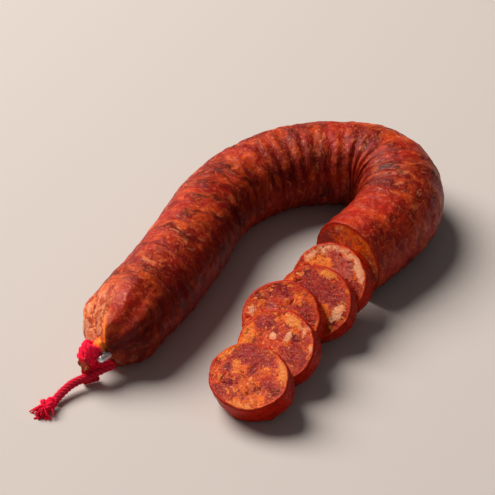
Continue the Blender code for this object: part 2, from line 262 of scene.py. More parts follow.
# the camera, at the photograph's angle
VIEW_TARGET = Vector((0.0, 0.0, 15.0)) * MM - ORIGIN
VIEW_AZIMUTH = 26.0
VIEW_ELEVATION = 36.0
VIEW_DISTANCE = 0.95
VIEW_LENS = 158.9
TO_VIEWER = Vector((0.3546, -0.7271, 0.5878))
RIGHT_IN_VIEW = Vector((0.8988, 0.4384, 0.0))

# the stage: each light's place, size and colour
FLOOR_REACH = 1.6
SKY_COLOUR = (0.95, 0.97, 1.0, 1.0)
LIGHTS = {
    "key": ((-1.47, 0.20, 1.76), 1.8, (1.0, 0.955, 0.905)),
    "fill": ((0.75, -1.35, 1.10), 1.2, (1.0, 0.98, 0.96)),
}


# ---- numbers and places ----


def smoothstep(value, low, high):
    share = min(max((value - low) / (high - low), 0.0), 1.0)
    return share * share * (3 - 2 * share)


def spread(values, share):
    """The value at a share of the way along equally spaced values."""
    place = min(max(share, 0.0), 1.0) * (len(values) - 1)
    first = min(int(place), len(values) - 2)
    return values[first] + (values[first + 1] - values[first]) * smoothstep(place - first, 0.0, 1.0)


def walk():
    """Points of the middle line on the ground, a millimetre apart, each with its distance and heading."""
    x, y = LEG_START
    heading = math.radians(LEG_HEADING)
    along = 0.0
    points = [(along, x, y, heading)]
    for length, turn in STRETCHES:
        count = round(length / MM)
        bend = math.radians(turn) / count
        for _ in range(count):
            x += math.cos(heading + bend / 2) * length / count
            y += math.sin(heading + bend / 2) * length / count
            heading += bend
            along += length / count
            points.append((along, x, y, heading))
    return points


WALK = walk()
LENGTH = WALK[-1][0]


def on_neck(out):
    """Place and heading at a distance out from the body's end, along the neck that bends aside."""
    x, y, heading = on_line(0.0)
    count = max(round(out / (0.5 * MM)), 1)
    turn = 0.0
    for step in range(count):
        turn = math.radians(NECK_TURN) * smoothstep((step + 0.5) / count * out, 1 * MM, 6 * MM)
        x -= math.cos(heading + turn) * out / count
        y -= math.sin(heading + turn) * out / count
    return x, y, heading + turn


def on_line(along):
    """Place on the ground and heading at a distance along the middle line; below 0 it follows the neck."""
    if along < 0:
        return on_neck(-along)
    if along >= LENGTH:
        x, y, heading = WALK[-1][1:]
        x, y = x + math.cos(heading) * (along - LENGTH), y + math.sin(heading) * (along - LENGTH)
    else:
        index = min(int(along / LENGTH * (len(WALK) - 1)), len(WALK) - 2)
        before, after = WALK[index], WALK[index + 1]
        share = (along - before[0]) / (after[0] - before[0])
        x, y, heading = (a + (b - a) * share for a, b in zip(before[1:], after[1:]))
    aside = NECK_ASIDE * (1 - smoothstep(along, 0.0, SHOULDER))
    return x + math.sin(heading) * aside, y - math.cos(heading) * aside, heading


def radius_at(along):
    """Radius of the sausage: tail, neck, round shoulder and body."""
    if along < -NECK_LENGTH:
        out = (-NECK_LENGTH - along) / TAIL_LENGTH
        return NECK_RADIUS + (TAIL_RADIUS - NECK_RADIUS) * smoothstep(out, 0.0, 1.0)
    if along < 0:
        return NECK_RADIUS
    body = spread(RADII, along / LENGTH)
    share = min(along / SHOULDER, 1.0)
    dome = (1 - (1 - share) ** 2.3) ** 0.62
    return NECK_RADIUS + (body - NECK_RADIUS) * dome


def height_at(along):
    """Height of the middle line."""
    body = spread(RADII, max(along, 0.0) / LENGTH) * LIE
    if along < 0:
        out = smoothstep(-along, 2 * MM, NECK_LENGTH + TAIL_LENGTH)
        return NECK_HEIGHT - TAIL_DROP * out
    return NECK_HEIGHT + (body - NECK_HEIGHT) * smoothstep(along, -6 * MM, SHOULDER * 1.2)


def neck_frame(outwards):
    """Middle of the neck at a distance from the body, with the ways across, up and outwards."""
    x, y, heading = on_line(-outwards)
    out = Vector((-math.cos(heading), -math.sin(heading), 0.0))
    up = Vector((0.0, 0.0, 1.0))
    return Vector((x, y, height_at(-outwards))), out.cross(up), up, out


def smooth_route(points, step):
    """Points a step apart on a smooth curve through the route's own points."""
    places = [Vector(point) * MM for point in points]
    ends = [places[0] * 2 - places[1], *places, places[-1] * 2 - places[-2]]
    fine = []
    for index in range(1, len(ends) - 2):
        before, here, after, beyond = ends[index - 1:index + 3]
        for part in range(16):
            t = part / 16
            fine.append(0.5 * (2 * here + (after - before) * t
                               + (2 * before - 5 * here + 4 * after - beyond) * t ** 2
                               + (3 * here - before - 3 * after + beyond) * t ** 3))
    fine.append(places[-1])
    total = sum((b - a).length for a, b in zip(fine, fine[1:]))
    count = max(round(total / step), 1)
    even = [fine[0]]
    walked = 0.0
    for a, b in zip(fine, fine[1:]):
        piece = (b - a).length
        while len(even) < count and walked + piece >= total * len(even) / count:
            even.append(a.lerp(b, (total * len(even) / count - walked) / piece))
        walked += piece
    even.append(fine[-1])
    return even


def slice_rows():
    """Each slice's frame: its middle, the ways across and down its face, and its face's normal."""
    end_y = on_line(LENGTH)[1]
    rows = []
    reach_out = 0.0
    before = None
    for across, yaw, tilt, width, height, thick in SLICES:
        lean = math.radians(tilt)
        half_reach = height / 2 * math.cos(lean) + thick / 2 * math.sin(lean)
        if before is None:
            reach_out = -end_y + SLICE_GAP + half_reach
        else:
            last_lean, last_height, last_thick = before
            last_middle = last_height / 2 * math.sin(last_lean) + last_thick / 2 * math.cos(last_lean)
            rise = height * math.sin(lean) - last_middle
            stand = last_thick / 2 + SLICE_GAP - rise * math.cos(last_lean)
            reach_out += half_reach + stand / math.sin(last_lean)
        before = (lean, height, thick)
        ahead = math.radians(yaw - 90)
        level = Vector((math.cos(ahead), math.sin(ahead), 0.0))
        up = Vector((0.0, 0.0, 1.0))
        normal = level * math.sin(lean) + up * math.cos(lean)
        down = level * math.cos(lean) - up * math.sin(lean)
        lift = height / 2 * math.sin(lean) + thick / 2 * math.cos(lean)
        middle = Vector((ROW_X + across, -reach_out, lift))
        rows.append((middle, normal.cross(down), down, normal, width, height, thick))
    return rows


# ---- meshes ----


def new_piece(name, points, faces, looks, attributes=None, face_looks=None):
    """A closed, smooth-shaded mesh piece; points are in metres in the route's own frame."""
    mesh = bpy.data.meshes.new(name)
    mesh.from_pydata([tuple(Vector(point) - ORIGIN) for point in points], [], faces)
    for label, values in (attributes or {}).items():
        values = np.asarray(values, np.float32)
        kind = "FLOAT_VECTOR" if values.ndim == 2 else "FLOAT"
        layer = mesh.attributes.new(label, kind, "POINT")
        layer.data.foreach_set("vector" if values.ndim == 2 else "value", values.ravel())
    for look in looks:
        mesh.materials.append(look)
    if face_looks is not None:
        mesh.polygons.foreach_set("material_index", np.asarray(face_looks, np.int32))
    mesh.validate()
    mesh.shade_smooth()
    piece = bpy.data.objects.new(name, mesh)
    bpy.context.scene.collection.objects.link(piece)
    return piece


def settle(piece, slot, *nodes):
    """The piece rides on the body and stands for its nodes; its slot is not used."""
    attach(piece, BODY)
    if nodes:
        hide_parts(*nodes)
    return piece


def relief_at(along, side, down, radius):
    """Folds across the bend and lumps of the filling, as on the frame's solid."""
    body = smoothstep(along, 2 * MM, SHOULDER)
    bend = smoothstep(along, 80 * MM, 120 * MM) * (1 - 0.5 * smoothstep(along, 235 * MM, 260 * MM))
    wander = noise.noise(Vector((along / (14 * MM), side * 1.5, down * 1.5))) * 2.4
    fold = math.sin(2 * math.pi * along / FOLD_PITCH + wander)
    folds = FOLD_DEPTH * fold * (0.25 + 0.75 * max(side, 0.0)) * (0.35 + 0.65 * bend)
    spot = Vector((along, side * radius, down * radius)) / LUMP_SIZE
    lumps = LUMP_DEPTH * noise.noise(spot + Vector((7.1, 2.3, 5.7)))
    return (folds + lumps) * body


def pleat_at(along, angle):
    """Gathers that run down the shoulder into the neck, and the ruffle of the tail."""
    if along < 0:
        flare = smoothstep(-along, NECK_LENGTH, NECK_LENGTH + TAIL_LENGTH)
        return 0.2 * TAIL_RADIUS * flare * math.cos(TAIL_LOBES * angle + 0.6)
    strength = smoothstep(along, 0.5 * MM, 5 * MM) * (1 - smoothstep(along, SHOULDER * 0.6, SHOULDER * 1.6))
    wander = 1.6 * noise.noise(Vector((math.cos(angle) * 1.3, math.sin(angle) * 1.3, along / (20 * MM))))
    return PLEAT_DEPTH * strength * math.cos(PLEATS * angle + wander)


def fine_relief(along, side, down, radius, settings):
    """Small casing relief in metres and its crease, from -1 in a furrow to 1 on a ridge."""
    bend = smoothstep(along, 70 * MM, 120 * MM)
    inner = max(side, 0.0)
    end = 1 - smoothstep(along, 6 * MM, 34 * MM)
    flat = Vector((side * radius, down * radius, along))
    drift = noise.noise_vector(flat / (9 * MM)) * (1.6 * MM)
    warped = flat + drift
    cells = noise.voronoi(warped / (5.2 * MM))[0]
    cobble = min(cells[1] - cells[0], 0.5) * 2 - 0.45
    across = Vector((warped.x / (13 * MM), warped.y / (13 * MM), warped.z / (2.7 * MM)))
    ridge = 1 - 3.2 * abs(noise.noise(across + Vector((3.0, 9.0, 1.0))))
    lengthways = Vector((warped.x / (1.9 * MM), warped.y / (1.9 * MM), warped.z / (15 * MM)))
    pleat = 1 - 3.0 * abs(noise.noise(lengthways))
    small = noise.noise(warped / (1.7 * MM)) + 0.5 * noise.noise(warped / (0.9 * MM))
    cross_strength = (0.30 + 0.50 * inner) * (0.45 + 0.55 * bend) * (1 - 0.75 * end)
    crease = ridge * cross_strength + 0.5 * pleat * end
    rise = (settings.cobble_depth * cobble * (1 - 0.5 * end)
            + settings.crease_depth * crease
            + settings.grain_depth * small)
    return rise, crease


def ring_places(step):
    """Distances of the casing's rings, evenly spaced along its surface."""
    start = -NECK_LENGTH - TAIL_LENGTH
    places = [start]
    along = start
    while along < LENGTH - step * 0.4:
        low = radius_at(along)
        ahead = along
        while ahead < along + step and math.hypot(ahead - along, radius_at(ahead) - low) < step:
            ahead += 0.04 * MM
        along = ahead
        places.append(min(along, LENGTH))
    places[-1] = LENGTH
    return places


def window(value, low, high, soft):
    """1 between low and high, fading to 0 over the soft width on both sides."""
    return smoothstep(value, low - soft, low) * (1 - smoothstep(value, high, high + soft))


def end_shape(along, angle, side, high, radius):
    """The tied end's own shape: how far it swells out and is drawn forwards, and its share of amber, laid as
    painted light on the lit side of the ridge and as its own orange on the lump.
    """
    x, z = side * radius / MM, high * radius / MM
    turn = math.remainder(angle - math.radians(184), 2 * math.pi)
    swell = SWELL_HEIGHT * math.exp(-((turn / math.radians(52)) ** 2))
    swell *= smoothstep(along, 0.2 * MM, 1.6 * MM) * (1 - smoothstep(along, 8 * MM, 19 * MM))
    lobe = math.remainder(angle - math.radians(82), 2 * math.pi)
    lump = LUMP_HEIGHT * math.exp(-((lobe / math.radians(58)) ** 2))
    lump *= window(along, -3.4 * MM, -0.2 * MM, 0.9 * MM)
    lump *= 1 + 0.35 * noise.noise(Vector((angle * 2.6, along / (1.1 * MM), 4.0)))
    ridge_x = 4.7 - 0.40 * z
    ridge = math.exp(-abs(x - ridge_x) / 2.0) * window(z, -0.5, 10.5, 4.5)
    forwards = RIDGE_REACH * ridge * window(along, 0.1 * MM, 4.5 * MM, 4.0 * MM)
    hollow = HOLLOW_DEPTH * math.exp(-(((x - ridge_x - 4.2) / 2.4) ** 2)) * window(z, -2.0, 9.0, 5.0)
    forwards -= hollow * window(along, 0.6 * MM, 6.0 * MM, 5.0 * MM)
    # painted light: the amber strip sits on the lit side of the ridge
    lit = math.exp(-abs(x - ridge_x + 1.0) / 2.4) * window(z, -0.5, 10.5, 4.5)
    lit *= window(along, 0.6 * MM, 7.0 * MM, 4.0 * MM)
    return swell + lump, forwards, max(lit, lump / (4.5 * MM))


def make_casing(settings, look):
    """The whole casing with its gathered neck and ruffled tail, closed behind the cut face."""
    around = settings.around
    angles = [2 * math.pi * index / around for index in range(around)]
    places = ring_places(settings.ring_step)
    points, faces, fields = [], [], []
    for along in places:
        x, y, heading = on_line(along)
        across = Vector((math.sin(heading), -math.cos(heading), 0.0))
        ahead = Vector((math.cos(heading), math.sin(heading), 0.0))
        middle = Vector((x, y, height_at(along)))
        radius = radius_at(along)
        body = smoothstep(along, 0.0, 8 * MM)
        edge = CUT_EDGE * smoothstep(along, LENGTH - 0.8 * MM, LENGTH)
        near_tie = 1 - smoothstep(along, 4 * MM, 34 * MM)
        near_cut = smoothstep(along, LENGTH - 34 * MM, LENGTH - 2 * MM)
        in_bend = 1 - 0.55 * window(along, 105 * MM, 220 * MM, 25 * MM)
        for angle in angles:
            side, high = math.cos(angle), math.sin(angle)
            rise, fold = fine_relief(along, side, -high, radius, settings)
            change = relief_at(along, side, -high, radius) + pleat_at(along, angle) + rise * body - edge
            swell, forwards, ridge = end_shape(along, angle, side, high, radius)
            spot = middle + (across * side + Vector((0.0, 0.0, high))) * (radius + change + swell)
            spot = spot - ahead * forwards
            spot.z = max(spot.z, GROUND_GAP)
            points.append(spot)
            # painted light: the tied end's colours are laid mostly on its lit side, left of the ridge
            lit = 1 - smoothstep(side * radius + 0.4 * high * radius, 3.0 * MM, 5.8 * MM)
            # painted shade: the next mask darkens the inner side of the U and the underside, less through the
            # bend
            sheltered = max(smoothstep(side - 0.30 * high, -0.05, 0.90) * in_bend,
                            0.8 * smoothstep(-high, 0.0, 0.9))
            fields.append((side * radius / MM, high * radius / MM, along / MM, fold,
                           near_tie * (0.08 + 0.92 * lit), near_cut, sheltered, ridge))
    for ring in range(len(places) - 1):
        for index in range(around):
            a, b = ring * around + index, ring * around + (index + 1) % around
            faces.append((a, b, b + around, a + around))
    for along, inset, sink in ((places[0], 1, TAIL_SINK), (places[-1], -1, CUT_SINK)):
        start = 0 if inset == 1 else (len(places) - 1) * around
        rim = list(range(start, start + around))
        heading = on_line(along)[2]
        ahead = Vector((math.cos(heading), math.sin(heading), 0.0))
        centre = sum((points[index] for index in rim), Vector()) / around
        for share in CAP_RINGS:
            deep_in = smoothstep(1 - share, 0.0, 0.12) * inset
            count = around if share else 1
            fresh = [len(points) + index % count for index in range(around)]
            for index in range(start, start + count):
                points.append(centre + (points[index] - centre) * share + ahead * sink * deep_in)
                fields.append((share * fields[index][0], share * fields[index][1], along / MM - 1.2 * deep_in,
                               0.0, *fields[start][4:6], 0.0, 0.0))
            for index in range(around):
                after = (index + 1) % around
                corners = (rim[index], rim[after], fresh[after], fresh[index])[:4 if share else 3]
                faces.append(corners[::-inset])
            rim = fresh
    table = np.array(fields)
    attributes = {"skin_place": table[:, :3]}
    for column, label in enumerate(("crease", "tied_end", "cut_end", "sheltered", "ridge"), start=3):
        attributes[label] = table[:, column]
    return new_piece("casing", points, faces, [look], attributes)


def disc_grid(count):
    """A square grid pressed evenly into the unit disc, and its boundary's indices in order."""
    steps = np.linspace(-1, 1, count)
    a, b = np.meshgrid(steps, steps)
    wide = np.abs(a) > np.abs(b)
    radius = np.where(wide, a, b)
    with np.errstate(divide="ignore", invalid="ignore"):
        turn = np.where(wide, math.pi / 4 * b / a, math.pi / 2 - math.pi / 4 * a / b)
    turn = np.nan_to_num(turn)
    points = np.stack([radius * np.cos(turn), radius * np.sin(turn)], axis=2).reshape(-1, 2)
    index = np.arange(count * count).reshape(count, count)
    rim = [*index[0, :-1], *index[:-1, -1], *index[-1, :0:-1], *index[:0:-1, 0]]
    return points, index, [int(i) for i in rim]


def mark_strength(mark, x, y, wobble):
    """How much of a mark is at a place: 1 inside, fading to 0 over its uneven edge."""
    _, middle_x, middle_y, half_x, half_y, turn = mark
    c, s = math.cos(math.radians(turn)), math.sin(math.radians(turn))
    u = ((x - middle_x) * c + (y - middle_y) * s) / half_x
    v = (-(x - middle_x) * s + (y - middle_y) * c) / half_y
    return 1 - smoothstep(math.hypot(u, v) + wobble, 0.58, 1.50)


def face_fields(x, y, rim, seed, marks):
    """Lean, fat, pale, orange and split shares of the filling at a place on a cut face, in mm."""
    spot = Vector((x, y, seed * 31.7))
    warped = spot + noise.noise_vector(spot / 3.4) * 1.3 + noise.noise_vector(spot / 1.3) * 0.35
    wobble = 0.40 * noise.noise(spot / 2.4) + 0.22 * noise.noise(spot / 0.9)
    fields, split = PLAIN_FILLING, 0.0
    for mark in marks:
        strength = mark_strength(mark, x, y, wobble)
        if strength <= 0:
            continue
        fields = [value + (aim - value) * strength for value, aim in zip(fields, KINDS[mark[0]])]
        if mark[0] == "split":
            split = max(split, strength)
    line = abs(noise.noise(warped / 2.6 + Vector((11.0, 4.0, 2.0))))
    often = smoothstep(noise.noise(spot / 6.0 + Vector((1.0, 8.0, 3.0))), 0.10, 0.32)
    crack = (1 - smoothstep(line, 0.02, 0.085)) * max(often * 0.8, split)
    crack *= 1 - smoothstep(rim, 0.86, 0.95)
    return *fields, crack


def rim_wave(spot):
    """Uneven outline of a cut piece: broad waves with finer ones on them."""
    return noise.noise(spot) + 0.55 * noise.noise(spot * 2.7 + Vector((4.0, 1.0, 7.0)))


def make_cut_piece(name, row, seed, marks, looks, count, wall_rings, lip):
    """A slab of the filling with two cut faces in relief and a casing wall round it."""
    middle, across, down, normal, width, height, thick = row
    grid, index, rim = disc_grid(count)
    half, radius = thick / 2, width / 2
    points, fields = [], []
    for face in (1, -1):
        for gx, gy in grid:
            share = math.hypot(gx, gy)
            squeeze = 1 - 0.022 * smoothstep(share, 0.9, 1.0)
            x, y = gx * squeeze, gy * squeeze
            spot = Vector((x * 2.2, y * 2.2, face * half / (8 * MM) + seed * 5.3))
            wall = 1 + WALL_RELIEF / radius * rim_wave(spot) * smoothstep(share, 0.3, 1.0)
            place_x, place_y = x * radius / MM, y * height / 2 / MM
            own = marks if face == 1 else ()
            lean, fat, pale, orange, crack = face_fields(place_x, place_y, share, seed + face / 2, own)
            grain = noise.noise(Vector((place_x, place_y, seed * 9.0)) / 1.1)
            swell = noise.noise(Vector((place_x, place_y, seed * 5.0 + face)) / 4.5)
            edge = smoothstep(share, 0.93, 0.975) * (1 - smoothstep(share, 0.985, 1.0))
            rise = sum(height * field for height, field in zip(FACE_RELIEF, (fat, lean, grain, swell, crack)))
            rise *= 1 - smoothstep(share, 0.95, 1.0)
            rise += edge * lip * (0.6 + 0.8 * noise.noise(spot * 1.3))
            rise -= ROUNDED_RIM * smoothstep(share, 0.975, 1.0)
            flat = across * (x * radius * wall) + down * (y * height / 2 * wall)
            points.append(middle + flat + normal * face * (half + rise))
            fields.append((place_x, place_y, face * 3.0 + seed * 40.0,
                           lean, fat, pale, orange, crack, share))
    size = count * count
    cells, looks_at = [], []
    for i in range(count - 1):
        for j in range(count - 1):
            a, b, c, d = index[i, j], index[i, j + 1], index[i + 1, j + 1], index[i + 1, j]
            cells.append((int(a), int(b), int(c), int(d)))
            cells.append((int(d) + size, int(c) + size, int(b) + size, int(a) + size))
            looks_at += [0, 0]
    loops = [rim]
    for ring in range(1, wall_rings):
        level = 1 - 2 * ring / wall_rings
        bulge = 1.012 - 0.012 * level ** 2 - 0.012 * smoothstep(abs(level), 0.82, 1.0)
        fresh = []
        for corner in rim:
            gx, gy = grid[corner] * bulge
            spot = Vector((gx * 2.2, gy * 2.2, level * half / (8 * MM) + seed * 5.3))
            wall = 1 + WALL_RELIEF / radius * rim_wave(spot)
            crossing = noise.noise(Vector((gx * 9.0, gy * 9.0, level * 0.9 + seed)))
            fold = FOLD_ON_WALL * (1 - 2.6 * abs(crossing))
            grow = wall + fold / radius
            flat = across * (gx * radius * grow) + down * (gy * height / 2 * grow)
            fresh.append(len(points))
            points.append(middle + flat + normal * level * half)
            fields.append((gx * radius / MM, gy * height / 2 / MM, seed * 40.0 + level * half / MM,
                           0, 0, 0, 0, 0, 1.0))
        loops.append(fresh)
    loops.append([corner + size for corner in rim])
    for first, second in zip(loops, loops[1:]):
        for k in range(len(rim)):
            n = (k + 1) % len(rim)
            cells.append((first[n], first[k], second[k], second[n]))
            looks_at.append(1)
    lowest = min(point.z for point in points)
    for point in points:
        point.z = max(point.z - min(lowest + 0.15 * MM, 0.0), GROUND_GAP)
    table = np.array(fields)
    names = ("lean", "fat", "pale", "orange", "split", "to_rim")
    attributes = {"skin_place": table[:, :3]}
    attributes.update({label: table[:, 3 + k] for k, label in enumerate(names)})
    return new_piece(name, points, cells, looks, attributes, looks_at)


def clip_mesh(look):
    """A closed ring of round metal wire on the neck, with the pressed bar that closes it."""
    middle, across, up, out = neck_frame(CLIP_PLACE)
    across = Matrix.Rotation(math.radians(-CLIP_SKEW), 3, up) @ across
    count, sides = 96, 28
    points, faces = [], []
    for step in range(count):
        t = 2 * math.pi * step / count
        away = (across * math.cos(t) * CLIP_HIGH + up * math.sin(t) * CLIP_WIDE).normalized()
        centre = middle + across * math.cos(t) * CLIP_WIDE + up * math.sin(t) * CLIP_HIGH
        for side in range(sides):
            u = 2 * math.pi * side / sides
            points.append(centre + (away * math.cos(u) + out * math.sin(u)) * CLIP_WIRE)
    for step in range(count):
        for side in range(sides):
            a, b = step * sides + side, step * sides + (side + 1) % sides
            c, d = (b + sides) % (count * sides), (a + sides) % (count * sides)
            faces.append((a, d, c, b))
    ahead = Vector((math.cos(CLIP_BAR_HEADING), math.sin(CLIP_BAR_HEADING), 0.0))
    beside = ahead.cross(up)
    centre = middle - across * CLIP_BAR_ASIDE + up * CLIP_BAR_UP - ahead * CLIP_BAR_BACK
    start, rows = len(points), 31
    for row in range(rows + 1):
        turn = math.pi * row / rows
        straight = CLIP_BAR_HALF if row > rows / 2 else -CLIP_BAR_HALF
        shift = ahead * (straight - math.cos(turn) * CLIP_BAR_RADIUS * 0.9)
        for side in range(sides):
            u = 2 * math.pi * side / sides
            ring = beside * math.cos(u) + up * math.sin(u) * 0.86
            points.append(centre + shift + ring * CLIP_BAR_RADIUS * max(math.sin(turn), 0.02))
    for row in range(rows):
        for side in range(sides):
            a, b = start + row * sides + side, start + row * sides + (side + 1) % sides
            faces.append((a, b, b + sides, a + sides))
    faces.append(tuple(range(start + sides - 1, start - 1, -1)))
    last = start + rows * sides
    faces.append(tuple(range(last, last + sides)))
    return new_piece("metal_clip", points, faces, [look])


# ---- node trees ----

FLOAT, VECTOR = "NodeSocketFloat", "NodeSocketVector"
COUNT, GEOMETRY = "NodeSocketInt", "NodeSocketGeometry"


class Nodes:
    """Adds nodes to one tree. An input is given as a socket to link or as a value to set."""

    def __init__(self, tree):
        self.tree = tree

    def feed(self, socket, value):
        if isinstance(value, bpy.types.NodeSocket):
            self.tree.links.new(value, socket)
        else:
            socket.default_value = value

    def add(self, kind, inputs=None, **settings):
        made = self.tree.nodes.new(kind)
        for label, value in settings.items():
            setattr(made, label, value)
        for key, value in (inputs or {}).items():
            self.feed(made.inputs[key], value)
        return made

    def math(self, operation, first, second=0.0, third=None):
        values = {0: first, 1: second} if third is None else {0: first, 1: second, 2: third}
        return self.add("ShaderNodeMath", values, operation=operation).outputs[0]

    def times(self, first, second):
        return self.math("MULTIPLY", first, second)

    def plus(self, first, second):
        return self.math("ADD", first, second)

    def minus(self, first, second):
        return self.math("SUBTRACT", first, second)

    def vector(self, operation, first, second=None, scale=None):
        given = {0: first, 1: second, "Scale": scale}
        values = {key: value for key, value in given.items() if value is not None}
        made = self.add("ShaderNodeVectorMath", values, operation=operation)
        return made.outputs["Value" if operation == "LENGTH" else "Vector"]

    def ramp(self, value, low, high, to_low=0.0, to_high=1.0):
        """The value smoothly mapped from low..high to to_low..to_high."""
        values = {"Value": value, "From Min": low, "From Max": high, "To Min": to_low, "To Max": to_high}
        return self.add("ShaderNodeMapRange", values, interpolation_type="SMOOTHSTEP").outputs["Result"]

    def near_zero(self, value, reach, most=1.0):
        """The most where the value crosses zero, fading to 0 at the reach on both sides."""
        return self.ramp(self.math("ABSOLUTE", value), 0.002, reach, most, 0.0)

    def layers(self, colour, *layers):
        """The colour with (share, colour) layers laid over it one after another."""
        for share, over in layers:
            made = self.add("ShaderNodeMix", {0: share}, data_type="RGBA")
            for key, value in ((6, colour), (7, over)):
                linked = isinstance(value, bpy.types.NodeSocket)
                self.feed(made.inputs[key], value if linked else (*value, 1.0))
            colour = made.outputs[2]
        return colour

    def named(self, label, output="Fac"):
        return self.add("ShaderNodeAttribute", attribute_name=label).outputs[output]

    def noise(self, place, scale, detail=2.0, roughness=0.5, distortion=0.0, output="Fac"):
        values = {"Vector": place, "Scale": scale, "Detail": detail, "Roughness": roughness,
                  "Distortion": distortion}
        return self.add("ShaderNodeTexNoise", values).outputs[output]

    def shifted(self, place, scale, detail, amount):
        """The place pushed about by a noise of this scale."""
        push = self.vector("SUBTRACT", self.noise(place, scale, detail, output="Color"), (0.5, 0.5, 0.5))
        return self.vector("ADD", place, self.vector("SCALE", push, scale=amount))

    def group(self, group, **values):
        """The outputs of a group node whose inputs are named by the capitalised keys."""
        made = self.add("ShaderNodeGroup", node_tree=group)
        for label, value in values.items():
            self.feed(made.inputs[label.capitalize()], value)
        return made.outputs

    def bump(self, height, depth, normal=None):
        values = {"Height": height, "Distance": depth, "Strength": 1.0}
        if normal is not None:
            values["Normal"] = normal
        return self.add("ShaderNodeBump", values).outputs["Normal"]


def new_group(name, inputs, outputs, kind="ShaderNodeTree"):
    """A group with named sockets: its nodes, its input sockets by name and its outputs."""
    group = bpy.data.node_groups.new(name, kind)
    for label, socket_kind, value in inputs:
        socket = group.interface.new_socket(label, in_out="INPUT", socket_type=socket_kind)
        if value is not None:
            socket.default_value = value
    for label, socket_kind in outputs:
        group.interface.new_socket(label, in_out="OUTPUT", socket_type=socket_kind)
    return Nodes(group), group.nodes.new("NodeGroupInput").outputs, group.nodes.new("NodeGroupOutput").inputs


def patches_group():
    """Cloudy patches: a noise cut off softly between two levels."""
    nodes, given, out = new_group(
        "cloudy_patches",
        (("Place", VECTOR, None), ("Scale", FLOAT, 1.0), ("Detail", FLOAT, 2.0),
         ("Low", FLOAT, 0.45), ("High", FLOAT, 0.6)),
        (("Mask", FLOAT),))
    cloud = nodes.noise(given["Place"], given["Scale"], given["Detail"], 0.58)
    nodes.feed(out["Mask"], nodes.ramp(cloud, given["Low"], given["High"]))
    return nodes.tree


def cells(nodes, given, noise_scale, detail):
    """A ragged Voronoi pattern at the group's place and scale: its distance, cell colour and moved place."""
    place = nodes.vector("SCALE", given["Place"], scale=given["Scale"])
    moved = nodes.shifted(place, noise_scale, detail, given["Ragged"])
    made = nodes.add("ShaderNodeTexVoronoi", {"Vector": moved, "Scale": 1.0})
    colour = nodes.add("ShaderNodeSeparateColor", {"Color": made.outputs["Color"]}).outputs
    return made.outputs["Distance"], colour, moved


def flecks_group():
    """Scattered uneven flecks: some cells of a Voronoi pattern, with soft edges."""
    nodes, given, out = new_group(
        "scattered_flecks",
        (("Place", VECTOR, None), ("Scale", FLOAT, 1.0), ("Share", FLOAT, 0.2), ("Size", FLOAT, 0.4),
         ("Ragged", FLOAT, 0.5)),
        (("Mask", FLOAT),))
    distance, colour, _ = cells(nodes, given, 2.3, 2.0)
    chosen = nodes.math("LESS_THAN", colour["Red"], given["Share"])
    reach = nodes.math("MULTIPLY_ADD", colour["Green"], 0.22, given["Size"])
    edge = nodes.ramp(distance, nodes.minus(reach, 0.2), reach, 1.0, 0.0)
    nodes.feed(out["Mask"], nodes.times(edge, chosen))
    return nodes.tree


def chunks_group():
    """Uneven pieces packed together: a random number for each piece, and how near its edge a place is."""
    nodes, given, out = new_group(
        "packed_pieces",
        (("Place", VECTOR, None), ("Scale", FLOAT, 0.3), ("Ragged", FLOAT, 1.0)),
        (("Number", FLOAT), ("Edge", FLOAT)))
    _, colour, moved = cells(nodes, given, 1.6, 3.0)
    border = nodes.add("ShaderNodeTexVoronoi", {"Vector": moved, "Scale": 1.0}, feature="DISTANCE_TO_EDGE")
    nodes.feed(out["Number"], colour["Red"])
    nodes.feed(out["Edge"], nodes.ramp(border.outputs["Distance"], 0.02, 0.16, 1.0, 0.0))
    return nodes.tree


def plain_material(name, **values):
    """A new Principled material with the given constant values, its nodes, and its inputs."""
    made = bpy.data.materials.new(name)
    made.use_nodes = True
    inputs = made.node_tree.nodes["Principled BSDF"].inputs
    for label, value in values.items():
        inputs[label.replace("_", " ")].default_value = value
    return made, Nodes(made.node_tree), inputs


def dress(nodes, inputs, colour, rough, normal):
    """Feeds a material's colour, roughness and normal."""
    for label, value in (("Base Color", colour), ("Roughness", rough), ("Normal", normal)):
        nodes.feed(inputs[label], value)


